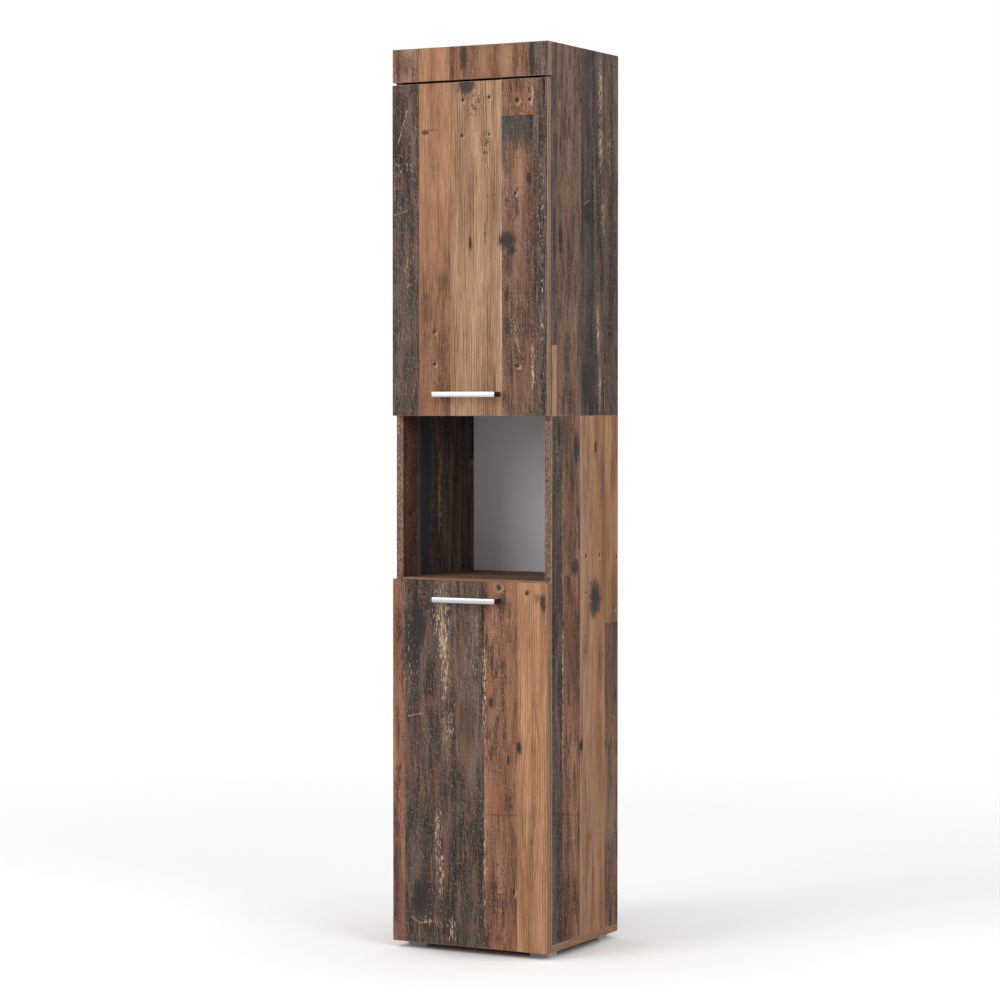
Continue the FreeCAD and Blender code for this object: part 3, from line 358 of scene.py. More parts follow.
class Film(Bench):
    """The bench of one print, with the places that all its marks share."""

    def __init__(self, tree, across, along):
        super().__init__(tree)
        metres = self.parts(self.put("TexCoord").outputs["Object"])
        sums = {}
        for socket, axes in (("X", across), ("Y", along)):
            sums[socket] = metres[axes[0]]
            for axis in axes[1:]:
                sums[socket] = self.math("ADD", sums[socket], metres[axis])
        flat = self.put("CombineXYZ", sums).outputs[0]
        self.place = self.vector("MULTIPLY", flat, (1000, 1000, 0))
        self.ragged = self.noise(self.place, RAGGED, 3.0, 0.65)
        self.flakes = self.noise(self.place, FLAKES, 4.0, 0.80)

    def stamp(self, tree, inputs):
        """The mask of one group at one place."""
        node = self.tree.nodes.new("ShaderNodeGroup")
        node.node_tree = tree
        return self.fill(node, {"Place": self.place, **inputs}).outputs["Mask"]

    def spot(self, row, softness):
        """A spot; its row holds its middle across and along, and its reach both ways."""
        return self.stamp(SPOT, {"Ragged": self.ragged, "Centre": (*row[:2], 0), "Reach": (*row[2:4], 1),
                                 "Softness": softness})


print("a film has", len([word for word in dir(Film) if word[0] != "_"]), "tools")

# %% [markdown]
# The planks come from three colour ramps that jump from strip to strip: one for the dark tone, one for
# the light tone, and one whose red, green and blue say how strong grain lines and weathering are and
# where the plank was cut. A patch is a length of another plank laid over them.

# %% Lay the strips
FRAY = 2.2
NEXT_CUT = 0.37
PATCH_CUT = 0.31


def strip_ramp(film, share, strips, span, colour_of):
    """A ramp that jumps at each strip's start."""
    ramp = film.put("ValToRGB", {"Fac": share})
    stops = ramp.color_ramp
    stops.interpolation = "CONSTANT"
    stops.elements.remove(stops.elements[-1])
    first, last = span
    for index, (start, kind) in enumerate(strips):
        position = max(0.0, (start - first) / (last - first))
        stop = stops.elements.new(position) if index else stops.elements[0]
        stop.position = position
        stop.color = colour_of(kind, index)
    return ramp.outputs["Color"]


def habit_of(kind, index=0):
    """Grain lines, weathering and a phase of its own for each plank, packed as a colour."""
    return (KINDS[kind][2], KINDS[kind][3], (index * NEXT_CUT) % 1.0, 1.0)


def lay_strips(film, span, strips, patches):
    """Dark tone, light tone, share of lines, share of weathering and phase at every place."""
    frayed = film.math("SUBTRACT", film.ragged, 0.5)
    wobble = film.math("MULTIPLY_ADD", frayed, FRAY, film.parts(film.place)["X"])
    share = film.math("DIVIDE", film.math("SUBTRACT", wobble, span[0]), span[1] - span[0])
    dark = strip_ramp(film, share, strips, span, lambda kind, index: KINDS[kind][0])
    light = strip_ramp(film, share, strips, span, lambda kind, index: KINDS[kind][1])
    habit = strip_ramp(film, share, strips, span, habit_of)
    phase = film.channels(habit)[2]
    for left, low, right, high, feather, kind in patches:
        mask = film.stamp(PATCH, {"Low": (left, low, 0), "High": (right, high, 0),
                                  "Feather": (0.4, feather, 1)})
        dark = film.paint(dark, KINDS[kind][0], mask)
        light = film.paint(light, KINDS[kind][1], mask)
        habit = film.paint(habit, habit_of(kind), mask)
        if feather < 1:
            phase = film.math("MULTIPLY_ADD", mask, PATCH_CUT, phase)
    lines_share, weather_share = film.channels(habit)[:2]
    return dark, light, lines_share, weather_share, phase


print("planks fray by", FRAY, "mm")

# %% [markdown]
# Wood fibre is long thin noise that mixes the two tones. Year rings are a sine across the plank that
# drifts slowly along it and comes and goes. Old boards are also worn: dark blotches, rubbed lighter
# places, saw cuts across, long cracks and small pits with a lit rim below each.

# %% Grow and weather the wood
# sizes across and along the planks, in millimetres
BROAD = (26, 300, 10)
FIBRE = (1.5, 46, 10)
DRIFT = (60, 500, 10)
RINGS_COME = (12, 200, 10)
RING_PITCH = 1.12
WORN = (14, 80, 10)
SAW_CUTS = (12, 1.9, 10)
SAWN = (30, 70, 10)
CRACKS = (2.6, 54, 10)
PITS = (4.6, 8.5, 10)
RIM_SHIFT = (2.0, 2.2, 0)


def grow_grain(film, dark, light, lines_share):
    """The sound wood's colour, its fibre and its ring lines."""
    broad = film.noise(film.cut_place, BROAD)
    fibre = film.noise(film.cut_place, FIBRE, 3.0, 0.65)
    mix = film.math("ADD", film.math("MULTIPLY_ADD", broad, 1.9, -0.95),
                    film.math("MULTIPLY_ADD", fibre, 1.9, -0.45), clamp=True)
    drift = film.times(film.noise(film.cut_place, DRIFT, 1.0), 24.0)
    wave = film.math("MULTIPLY_ADD", film.parts(film.place)["X"], RING_PITCH, drift)
    coming = film.fade(film.noise(film.cut_place, RINGS_COME), 0.36, 0.60)
    lines = film.times(film.fade(film.math("SINE", wave), 0.35, 1.0), coming, lines_share)
    colour = film.paint(film.paint(dark, light, mix), tone(122, 92, 78), lines, "MULTIPLY")
    return colour, fibre, lines


def weather(film, colour, share):
    """The worn wood's colour, and its pits. Their lit rims stay with the film for the scratches."""
    worn = film.noise(film.cut_place, WORN, 6.0, 0.72)
    colour = film.paint(colour, tone(50, 44, 43), film.times(film.fade(worn, 0.50, 0.60), share, 0.70))
    colour = film.paint(colour, tone(158, 110, 82), film.times(film.fade(worn, 0.46, 0.35), share, 0.50))
    cuts = film.fade(film.noise(film.place, SAW_CUTS, 1.0), 0.55, 0.66)
    sawn = film.fade(film.noise(film.cut_place, SAWN), 0.46, 0.62)
    colour = film.paint(colour, tone(138, 120, 108), film.times(cuts, sawn, share, 0.5))
    cracks = film.fade(film.noise(film.cut_place, CRACKS, 2.0, 0.6), 0.60, 0.68)
    cracked = film.times(cracks, film.math("MULTIPLY_ADD", share, 0.6, 0.15))
    colour = film.paint(colour, tone(46, 38, 35), cracked)
    film.lit = film.noise(film.vector("ADD", film.place, RIM_SHIFT), PITS, 4.0, 0.75)
    rims = film.times(film.fade(film.lit, 0.55, 0.62), share, 0.40)
    colour = film.paint(colour, tone(196, 164, 138), rims)
    pits = film.noise(film.place, PITS, 4.0, 0.75)
    colour = film.paint(colour, tone(40, 33, 31), film.times(film.fade(pits, 0.56, 0.63), share, 0.75))
    return colour, pits


print("a year ring every", round(2 * math.pi / RING_PITCH, 1), "mm")

# %% [markdown]
# Most marks are plain spots, told apart by softness, tone and cover. The others have a recipe of their
# own. Curls are the thin tracks of beetles, arches are the pointed rings of a plank cut near its heart,
# and saws are bars across the grain. Chips are flakes of old pale paint, denser towards the middle.

# %% Give the special marks their recipes
CURLS = (8, 13, 10)
ARCH_PITCH = 13.0
SAW_PITCH = 1.05


def curl(film, row):
    bend = film.math("SUBTRACT", film.noise(film.place, CURLS, 1.0), 0.5)
    return film.times(film.fade(film.math("ABSOLUTE", bend), 0.05, 0.012), film.spot(row, 0.6))


def arch(film, row):
    arm = film.vector("DIVIDE", film.vector("SUBTRACT", film.place, (*row[:2], 0)), (*row[2:], 1))
    broad = film.noise(film.cut_place, BROAD)
    distance = film.math("MULTIPLY_ADD", broad, 1.3, film.vector("LENGTH", arm, result="Value"))
    arcs = film.fade(film.math("SINE", film.times(distance, ARCH_PITCH)), 0.3, 1.0)
    return film.times(arcs, film.fade(distance, 2.1, 1.4))


def saw(film, row):
    across = film.parts(film.place)["Y"]
    wave = film.math("MULTIPLY_ADD", across, SAW_PITCH, film.times(film.ragged, 6.0))
    bars = film.fade(film.math("SINE", wave), 0.1, 0.9)
    return film.times(bars, film.fade(film.ragged, 0.40, 0.56), film.spot(row, 0.7))


def chip(film, row):
    mask = film.spot(row, 0.8)
    raised = film.math("MULTIPLY_ADD", mask, row[4], film.flakes)
    return film.times(film.fade(raised, 0.62, 0.69), film.fade(mask, 0.0, 0.3))


def scratch(film, row):
    mask = film.stamp(SCRATCH, {"Start": (*row[:2], 0), "End": (*row[2:4], 0), "Width": row[4]})
    return film.times(mask, film.fade(film.lit, 0.40, 0.52))


print("a saw mark every", round(2 * math.pi / SAW_PITCH, 1), "mm")

# %% [markdown]
# The table holds the marks in the order of painting. Each nail also gets a pale ring, because the wood
# around an old nail is bruised and catches the light.

# %% Draw the marks
# each mark: its recipe or its softness, its tone, and how strongly it covers
MARKS = {
    "scribble": (curl, tone(56, 46, 42), 0.75),
    "arch": (arch, tone(132, 88, 64), 0.42),
    "saw": (saw, tone(48, 42, 40), 0.32),
    "glow": (1.00, tone(172, 106, 68), 0.50),
    "rust": (1.00, tone(136, 92, 70), 0.60),
    "pale": (1.00, tone(170, 148, 128), 0.35),
    "honey": (0.90, tone(186, 142, 106), 0.60),
    "shade": (0.90, tone(84, 66, 58), 0.55),
    "halo": (0.80, tone(92, 84, 80), 0.55),
    "ring": (0.60, tone(198, 170, 142), 0.60),
    "knot": (0.60, tone(72, 50, 42), 0.85),
    "stain": (0.65, tone(58, 54, 54), 0.90),
    "slit": (0.60, tone(52, 42, 38), 0.90),
    "nail": (0.45, tone(42, 38, 37), 0.90),
    "chip": (chip, tone(216, 186, 150), 0.90),
    "pale_scratch": (scratch, tone(196, 182, 166), 0.75),
    "dark_scratch": (scratch, tone(52, 42, 38), 0.75),
}
RING_SHIFT = 2.4


def draw_marks(film, colour, marks):
    """Paints every mark of a print over its planks."""
    rings = [(across + RING_SHIFT, along - RING_SHIFT, width * 1.5, height * 1.4)
             for across, along, width, height in marks.get("nail", ())]
    for kind, (recipe, mark_tone, cover) in MARKS.items():
        for row in rings if kind == "ring" else marks.get(kind, ()):
            mask = recipe(film, row) if callable(recipe) else film.spot(row, recipe)
            colour = film.paint(colour, mark_tone, film.times(mask, cover))
    return colour


print(len(MARKS), "kinds of mark")

# %% [markdown]
# A print goes through all these hands in order. Every plank needs fibre of its own, so the noise is
# read at another depth for each. The film is slightly embossed and has almost no shine, so its specular
# level stays low.

# %% Write the recipe of a print
CUT_DEPTH = 900.0
SATIN_FILM = {"Specular IOR Level": 0.12}


def new_film(name, across, along):
    """A fresh material with a film in place of the plain bench."""
    finish, bench = new_finish(name)
    return finish, Film(bench.tree, across, along)


def printed_boards(name, face, strips, patches=(), **marks):
    """A printed film for one face: its axes across and along the planks, and its span across."""
    across, along, span = face
    finish, film = new_film(name, across, along)
    dark, light, lines_share, weather_share, phase = lay_strips(film, span, strips, patches)
    own_cut = film.put("CombineXYZ", {"Z": film.times(phase, CUT_DEPTH)}).outputs[0]
    film.cut_place = film.vector("ADD", film.place, own_cut)
    colour, fibre, lines = grow_grain(film, dark, light, lines_share)
    colour, pits = weather(film, colour, weather_share)
    colour = draw_marks(film, colour, marks)
    height = film.math("SUBTRACT", film.times(fibre, 0.6), film.times(lines, 0.5))
    close_finish(film, colour, (pits, 0.58, 0.74), (height, 0.25, 0.0004), SATIN_FILM)
    print(name, "has", len(film.tree.nodes), "nodes")
    return finish


# %% [markdown]
# ## Prints of the fronts
# The fascia, the upper door and the lower door were cut from different sheets, so each gets its own
# list. The numbers are millimetres from the middle of the cabinet and from the floor. A row of marks
# gives the middle of each spot and its reach both ways; chips add how thickly they lie.

# %% Print the fascia
FRONT = ("X", "Z", (-185, 185))
fascia_print = printed_boards("fascia_print", FRONT,
    [(-185, "speckled"), (-120.6, "honey"), (-48, "amber"), (-4, "amber"), (142, "charcoal"),
     (168, "grey_brown")],
    stain=[(-14, 1876, 13, 44), (146, 1868, 9, 60)],
    shade=[(-150, 1866, 30, 36)],
    honey=[(34, 1860, 12, 60), (86, 1866, 24, 60)],
    saw=[(100, 1860, 40, 40)],
    dark_scratch=[(-37, 1820, -37, 1910, 1.0), (-30, 1820, -30, 1910, 0.9), (-23, 1820, -23, 1910, 0.8),
     (48, 1820, 50, 1910, 0.9)])

# %% [markdown]
# The upper door has light honey planks in its middle, with nails, knots and dark stains around them, and
# worn dark planks at both edges. A short rusty plank is let in at its upper right.

# %% Print the upper door
upper_door_print = printed_boards("upper_door_print", FRONT,
    [(-185, "charcoal"), (-120.5, "honey"), (-44.2, "pale_honey"), (73.4, "pale_edge"), (77.2, "umber"),
     (150.7, "grey_brown"), (163, "charcoal"), (179, "grey_brown")],
    patches=[(-120.5, 1100, -44.2, 1400, 110, "amber"), (77.2, 1690, 150.7, 1790, 32, "slate"),
     (77.2, 1750, 150.7, 1840, 0.4, "rust")],
    stain=[(-6, 1815, 30, 26), (142, 1620, 9, 16), (88, 1493, 29, 25), (99, 1471, 15, 14)],
    halo=[(-10, 1788, 14, 10), (47.5, 1790, 8, 9), (-16.6, 1714, 7, 9)],
    nail=[(-14.4, 1787, 5, 5), (47.5, 1790, 4, 4.5), (-16.6, 1713, 4, 5), (47.5, 1713, 3.6, 4.5),
     (113.3, 1781, 7, 8), (143, 1781, 5, 6), (109, 1589, 4, 6), (-82, 1304, 4.5, 5), (-82, 1236, 4.5, 5),
     (115, 1232, 6, 6)],
    knot=[(-105, 1723, 12, 7)],
    shade=[(-90, 1727, 18, 3.5), (96, 1650, 10, 60), (92, 1440, 9, 40), (2.5, 1488, 10, 40),
     (38, 1505, 5, 30), (-62, 1410, 22, 32), (-102, 1376, 12, 12), (116, 1345, 8, 50),
     (-174, 1350, 8, 40)],
    honey=[(122, 1630, 12, 90)],
    rust=[(132, 1560, 13, 60), (98, 1530, 12, 46), (128, 1200, 26, 60), (130, 1420, 16, 40)],
    slit=[(2.5, 1488, 4, 17)],
    glow=[(118, 1790, 24, 24), (102, 1660, 10, 60), (-90, 1160, 24, 40)],
    scribble=[(100, 1562, 22, 44), (114, 1325, 34, 52), (112, 1240, 34, 44), (14, 1766, 26, 24),
     (-82, 1300, 14, 14), (-84, 1238, 12, 12), (40, 1690, 16, 36), (20, 1790, 30, 20)],
    saw=[(-86, 1650, 26, 40), (-84, 1180, 36, 50), (112, 1392, 34, 14), (110, 1690, 34, 40)],
    chip=[(149, 1785, 5, 40, 0.16), (151, 1230, 6, 100, 0.15), (170, 1560, 12, 220, 0.07),
     (172, 1330, 8, 160, 0.08), (-146, 1440, 12, 80, 0.07), (-170, 1640, 14, 120, 0.05)],
    pale_scratch=[(-148, 1771, -170, 1704, 1.2), (-149, 1659, -148, 1645, 1.2),
     (-139, 1658, -137, 1643, 1.1), (-179, 1552, -148, 1561, 1.2), (110, 1292, 119, 1262, 1.6)],
    dark_scratch=[(25, 1712, 36, 1672, 1.6), (36, 1672, 61, 1594, 1.0), (40, 1584, 64, 1588, 1.2),
     (60, 1232, 60, 1180, 1.2), (84, 1383, 134, 1382, 1.4), (38, 1530, 39, 1480, 1.3)])

# %% [markdown]
# The lower door is darker. Old pale paint is left in a long streak down its grey planks, and one clean
# orange plank closes it on the right.

# %% Print the lower door
lower_door_print = printed_boards("lower_door_print", FRONT,
    [(-185, "rust"), (-155.4, "charcoal"), (-82, "grey_brown"), (-31.4, "grey_brown"), (23, "charcoal"),
     (36, "rust"), (88, "amber"), (114, "orange"), (181, "honey")],
    patches=[(-82, 0, -31.4, 440, 60, "charcoal"), (-31.4, 0, 23, 380, 60, "charcoal")],
    nail=[(71, 771, 8, 8), (107, 138, 3.4, 10)],
    knot=[(136, 761, 6, 7)],
    shade=[(140, 764, 12, 8), (162, 752, 14, 16), (118, 440, 12, 34), (52, 620, 11, 12), (72, 605, 9, 12),
     (46, 462, 8, 16), (-167, 703, 10, 12), (70, 112, 14, 16), (70, 40, 18, 20), (92, 312, 12, 26),
     (148, 246, 7, 12), (-8, 70, 20, 60), (-170, 120, 22, 160), (-172, 470, 8, 80), (-128, 480, 20, 80),
     (-8, 480, 20, 80)],
    stain=[(174, 742, 10, 26), (52, 530, 9, 16), (-119, 110, 30, 60), (-120, 690, 22, 60),
     (-140, 640, 26, 90)],
    slit=[(118, 440, 7, 16), (93, 411, 4, 16)],
    rust=[(-19, 665, 10, 90), (-26, 510, 11, 80), (-92, 524, 30, 24), (-4, 420, 16, 90),
     (-56, 200, 10, 120), (-145, 400, 9, 60), (-79, 360, 12, 60), (0, 285, 9, 16), (13, 150, 8, 70),
     (152, 300, 10, 66)],
    glow=[(62, 330, 22, 70), (66, 60, 20, 40), (50, 560, 14, 60)],
    scribble=[(60, 600, 26, 40), (66, 110, 26, 60), (-150, 690, 12, 40), (96, 320, 16, 30)],
    arch=[(148, 350, 24, 190)],
    saw=[(9, 660, 20, 60), (-110, 130, 40, 60), (60, 650, 26, 50), (-130, 520, 26, 40), (62, 230, 30, 60),
     (-30, 200, 30, 60)],
    chip=[(-66, 710, 34, 90, 0.12), (-62, 650, 18, 90, 0.16), (-58, 590, 17, 90, 0.13),
     (-50, 480, 24, 90, 0.09), (-76, 250, 14, 90, 0.12), (-68, 160, 14, 90, 0.12),
     (-42, 50, 14, 50, 0.12), (37, 560, 8, 170, 0.13), (38, 200, 8, 190, 0.11), (-90, 62, 50, 16, 0.07),
     (12, 640, 22, 130, 0.06), (-140, 600, 24, 160, 0.05)],
    pale_scratch=[(-147, 493, -107, 502, 1.2), (-141, 69, -119, 56, 1.2), (-119, 56, -87, 62, 1.2)],
    dark_scratch=[(36, 295, 112, 298, 1.6), (-43, 328, 25, 309, 1.2), (127, 190, 126, 130, 1.0)])

# %% [markdown]
# ## Prints of the sides
# On the sides the planks run upright too, so the place across them is the depth. The numbers run from
# the front edge at -135 to the rear edge at 177.

# %% Print the upper sides
SIDE = ("Y", "Z", (-136, 178))
upper_side_print = printed_boards("upper_side_print", SIDE,
    [(-136, "grey_brown"), (-110.7, "red_brown"), (-0.4, "slate"), (61, "grey_brown"), (123, "charcoal"),
     (150, "grey_brown")],
    patches=[(-136, 1128, -110.7, 1275, 0.4, "pale_honey"), (61, 1128, 123, 1560, 60, "charcoal")],
    shade=[(-86, 1730, 22, 46), (-70, 1240, 16, 30), (140, 1720, 10, 60)],
    stain=[(-94, 1493, 14, 50), (-2, 1791, 10, 8), (30, 1560, 24, 40), (-124, 1500, 7, 110),
     (22, 1198, 24, 60)],
    pale=[(92, 1840, 8, 60), (92, 1700, 7, 60)],
    scribble=[(-80, 1700, 26, 40), (-66, 1230, 20, 20), (90, 1800, 14, 60), (132, 1401, 10, 12)],
    saw=[(110, 1850, 50, 60), (80, 1480, 50, 60), (20, 1180, 40, 40)],
    chip=[(92, 1820, 18, 90, 0.15), (92, 1710, 17, 100, 0.14), (104, 1560, 14, 110, 0.10),
     (80, 1310, 10, 90, 0.15), (89, 1190, 9, 70, 0.14), (136, 1700, 12, 110, 0.09),
     (60, 1640, 8, 160, 0.08)],
    pale_scratch=[(14, 1573, 37, 1583, 1.3), (72, 1360, 89, 1255, 1.8), (89, 1230, 89, 1140, 1.3),
     (112, 1230, 112, 1140, 1.2)])

# %% [markdown]
# The lower sides carry on with other planks: a honey plank with a large knot, and a rusty one that
# changes its tone half-way up.

# %% Print the lower sides
lower_side_print = printed_boards("lower_side_print", SIDE,
    # the first pale strip, along the front corner, is a pale print line and a painted highlight where the
    # edge catches the light
    [(-136, "pale_edge"), (-133.4, "charcoal"), (-84.7, "umber"), (-3.6, "pale_edge"),
     (-2.0, "pale_honey"), (50, "honey"), (114, "umber")],
    patches=[(-84.7, 0, -4.6, 794.5, 0.4, "rust"), (114.8, 684, 180, 1130, 0.4, "honey")],
    shade=[(-70, 1080, 22, 60), (-30, 1000, 26, 60), (-50, 850, 26, 60), (69, 1061, 10, 34),
     (56, 712, 24, 24), (3, 432, 14, 34), (-31, 345, 16, 70), (43, 235, 9, 24), (-100, 800, 12, 120),
     (150, 600, 50, 220), (62, 750, 34, 60), (-44, 600, 50, 160), (92, 600, 18, 90), (100, 1000, 16, 110),
     (150, 1000, 18, 90)],
    pale=[(80, 270, 44, 200), (150, 260, 36, 170)],
    stain=[(-22, 1060, 20, 46), (-28, 812, 26, 24), (-100, 1090, 10, 40), (68, 740, 36, 50)],
    slit=[(69, 1061, 6, 18), (3, 432, 9, 16)],
    nail=[(24, 832, 5, 7), (88, 831, 4, 6), (170, 824, 4, 7), (24, 755, 4, 5), (162, 715, 4, 7)],
    rust=[(-64, 930, 16, 110)],
    glow=[(-50, 700, 20, 60), (-60, 880, 12, 50)],
    scribble=[(62, 770, 16, 12), (-60, 250, 24, 60), (-40, 110, 24, 50), (20, 640, 16, 40)],
    arch=[(84, 330, 20, 170)],
    saw=[(-110, 600, 26, 160), (-50, 1000, 40, 80), (-50, 640, 36, 100), (100, 950, 40, 24)],
    chip=[(-83, 600, 7, 180, 0.13), (-83, 440, 7, 80, 0.14), (-84, 790, 8, 26, 0.12),
     (-112, 1060, 10, 60, 0.10), (-84, 960, 8, 130, 0.08)],
    dark_scratch=[(22, 960, 30, 955, 1.0), (-130, 304, -8, 286, 1.3), (22, 1010, 24, 900, 1.0),
     (40, 1040, 41, 880, 0.9)])

# %% [markdown]
# ## Prints of the inner faces
# Inside the niche and behind the doors the same film goes on. The left wall of the niche shows a
# reddish front strip, then very dark planks with one chipped streak. No photograph shows the backs of
# the doors and the shelves, so their layout is free.

# %% Print the inner faces
inner_side_print = printed_boards("inner_side_print", SIDE,
    [(-136, "deep_red"), (-75, "slate"), (0, "charcoal"), (60, "grey_brown"), (116, "grey_brown")],
    patches=[(116, 1032, 180, 1130, 0.4, "slate")],
    pale=[(20, 940, 8, 120)],
    knot=[(-106, 921, 10, 10)],
    shade=[(130, 1500, 12, 60)],
    stain=[(-40, 950, 36, 300)],
    scribble=[(-104, 930, 14, 30), (30, 900, 16, 60)],
    saw=[(-40, 1000, 30, 60), (60, 600, 40, 120)],
    chip=[(24, 950, 16, 150, 0.10), (60, 1560, 14, 140, 0.12)])

inner_front_print = printed_boards("inner_front_print", FRONT,
    [(-185, "honey"), (-112, "charcoal"), (-30, "pale_honey"), (62, "pale_edge"), (65, "rust"),
     (128, "grey_brown")],
    patches=[(-112, 0, -30, 430, 0.4, "umber"), (65, 1400, 128, 1900, 0.4, "honey")],
    stain=[(-70, 1600, 20, 24)],
    slit=[(10, 1300, 5, 16), (20, 600, 6, 18)],
    knot=[(96, 500, 9, 9)],
    nail=[(-150, 300, 5, 6)],
    saw=[(-70, 700, 36, 120), (96, 1200, 30, 80)],
    chip=[(-70, 1350, 16, 120, 0.15), (-72, 560, 14, 110, 0.15)])

SHELF = ("Y", "X", (-136, 178))
shelf_print = printed_boards("shelf_print", SHELF,
    [(-136, "rust"), (-96, "umber"), (-20, "amber"), (44, "grey_brown"), (104, "umber")],
    shade=[(-60, 60, 9, 30)],
    slit=[(10, -80, 6, 14)],
    stain=[(120, 100, 20, 30)],
    saw=[(0, 0, 60, 80)])

# %% [markdown]
# ## Edge bands
# Narrow faces are closed with a thin printed band. Across an upright band both width and depth count,
# so that its fibre turns the corner, and a level band does the same along its run.

# %% Mix the edge bands
def edge_band(name, across, along, tones, line_tone, speckle):
    """A narrow printed band: fibre along its run, thin pale lines and some speckle."""
    finish, film = new_film(name, across, along)
    fibre = film.noise(film.place, (1.9, 46, 10), 3.0, 0.6)
    broad = film.noise(film.place, (9, 120, 10), 2.0)
    mix = film.math("ADD", film.math("MULTIPLY_ADD", broad, 1.4, -0.7),
                    film.math("MULTIPLY_ADD", fibre, 1.4, -0.2), clamp=True)
    line = film.fade(film.noise(film.place, (2.2, 900, 10), 1.0), 0.56, 0.64)
    colour = film.paint(film.paint(*tones, mix), line_tone, film.times(line, 0.7))
    speck = film.noise(film.place, (4.6, 7.5, 10), 3.0, 0.7)
    colour = film.paint(colour, tone(66, 48, 42), film.times(film.fade(speck, 0.52, 0.60), speckle))
    colour = film.paint(colour, tone(192, 160, 136), film.times(film.fade(speck, 0.45, 0.38), speckle * 0.8))
    close_finish(film, colour, (speck, 0.42, 0.56), (fibre, 0.2, 0.0003), {"Specular IOR Level": 0.15})
    return finish


speckled_band = edge_band("speckled_band", "XY", "Z", (tone(104, 76, 64), tone(150, 116, 98)),
                          tone(170, 138, 114), 0.65)
honey_band = edge_band("honey_band", "XY", "Z", (tone(112, 82, 64), tone(172, 134, 106)),
                       tone(206, 178, 150), 0.20)
# the rim band is lighter than the others: on the rounded edges of the boards it is a painted highlight over
# the band's print
highlight_rim_band = edge_band("highlight_rim_band", "XY", "Z", (tone(128, 102, 84), tone(188, 156, 130)),
                     tone(204, 176, 150), 0.20)
level_band = edge_band("level_band", "Z", "XY", (tone(140, 100, 76), tone(190, 148, 114)),
                       tone(128, 88, 66), 0.15)
print("four bands mixed")

# %% [markdown]
# ## Raw board, hardboard and small finishes
# Edges that nobody sees stay raw. Raw chipboard is pressed from flakes, so it is made of small pale and
# dark cells with some darker dust between them.

# %% Mix raw chipboard
raw_board, bench = new_finish("raw_board")
place = millimetres(bench)
flakes = bench.put("TexVoronoi", {"Vector": place, "Scale": 0.55, "Randomness": 1.0})
colour = bench.paint(tone(150, 118, 84), tone(214, 182, 138), bench.channels(flakes.outputs["Color"])[0])
dust = bench.noise(place, (1.2, 1.2, 1.2), 4.0, 0.7)
colour = bench.paint(colour, tone(110, 82, 58), bench.fade(dust, 0.58, 0.70))
DULL = {"Specular IOR Level": 0.2}
close_finish(bench, colour, (dust, 0.86, 0.94), (dust, 0.5, 0.0005), DULL)
print(raw_board.name, "mixed")

# %% [markdown]
# Everything else is a cloud of two tones with its own gloss and relief: metal, plastic, beech and
# hardboard. Satin handles are brushed along their length, so their cloud is stretched across it.

# %% Mix the small finishes
def cloudy(name, dark, light, cloud_size, grain_size, gloss, relief, extras, stretch=1):
    """Two tones in a cloud, and a finer grain for gloss and relief; sizes are in millimetres."""
    finish, bench = new_finish(name)
    place = millimetres(bench)
    cloud = bench.noise(place, (cloud_size * stretch, cloud_size, cloud_size), 3.0, 0.6)
    grain = bench.noise(place, (grain_size * stretch, grain_size, grain_size), 3.0, 0.6)
    colour = bench.paint(tone(*dark), tone(*light), cloud)
    close_finish(bench, colour, (grain, *gloss), (grain, relief, 0.0003), extras)
    return finish


METAL = {"Metallic": 1.0}
PLASTIC = {"Specular IOR Level": 0.4}
BRUSHED = 120
satin = cloudy("satin_metal", (192, 190, 192), (214, 212, 214), 0.5, 0.5, (0.32, 0.46), 0.08, METAL, BRUSHED)
# dark satin for the handles' end faces: painted shade and a painted reflection of the dark door beside them
painted_shade_satin_end = cloudy("painted_shade_satin_end", (84, 76, 72), (112, 102, 96), 2, 1, (0.40, 0.50), 0.08, METAL)
zinc = cloudy("zinc_steel", (176, 178, 180), (206, 208, 210), 3, 3, (0.26, 0.42), 0.08, METAL)
nickel = cloudy("nickel_plate", (196, 194, 190), (216, 214, 210), 6, 6, (0.18, 0.30), 0.08, METAL)
cast = cloudy("cast_zinc", (140, 141, 144), (172, 173, 176), 1.2, 1.2, (0.42, 0.60), 0.08, METAL)
grey_plastic = cloudy("grey_plastic", (200, 201, 202), (212, 213, 214), 14, 0.8, (0.42, 0.58), 0.14, PLASTIC)
brown_plastic = cloudy("brown_plastic", (66, 50, 42), (80, 62, 52), 14, 0.7, (0.38, 0.52), 0.14, PLASTIC)
soft_dot = cloudy("soft_dot", (206, 208, 210), (222, 224, 226), 14, 1, (0.25, 0.40), 0.14, PLASTIC)
beech = cloudy("beech", (190, 150, 108), (222, 186, 142), 3, 1, (0.66, 0.76), 0.3, DULL)
white_paint = cloudy("white_hardboard", (229, 227, 228), (238, 237, 238), 60, 2.5, (0.45, 0.60), 0.1, DULL)
brown_fibre = cloudy("brown_hardboard", (130, 98, 70), (182, 148, 114), 7, 1.5, (0.80, 0.90), 0.5, DULL)
print("eleven small finishes mixed")

# %% [markdown]
# ## The boards
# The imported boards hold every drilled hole, so they are worth keeping. Each is copied, welded, and its
# twelve outer edges are broken by a fine bevel, as a real edge band is. Faces and edges are picked by
# where they lie, as a click picks them by hand.

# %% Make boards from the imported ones
WELD = 0.00001
NEAR = 0.00002


def switch_to(mode):
    """Goes to Edit Mode or back to Object Mode."""
    bpy.ops.object.mode_set(mode=mode)


def take(piece):
    """Makes one piece the only selected and active one."""
    bpy.ops.object.select_all(action="DESELECT")
    piece.select_set(True)
    bpy.context.view_layer.objects.active = piece


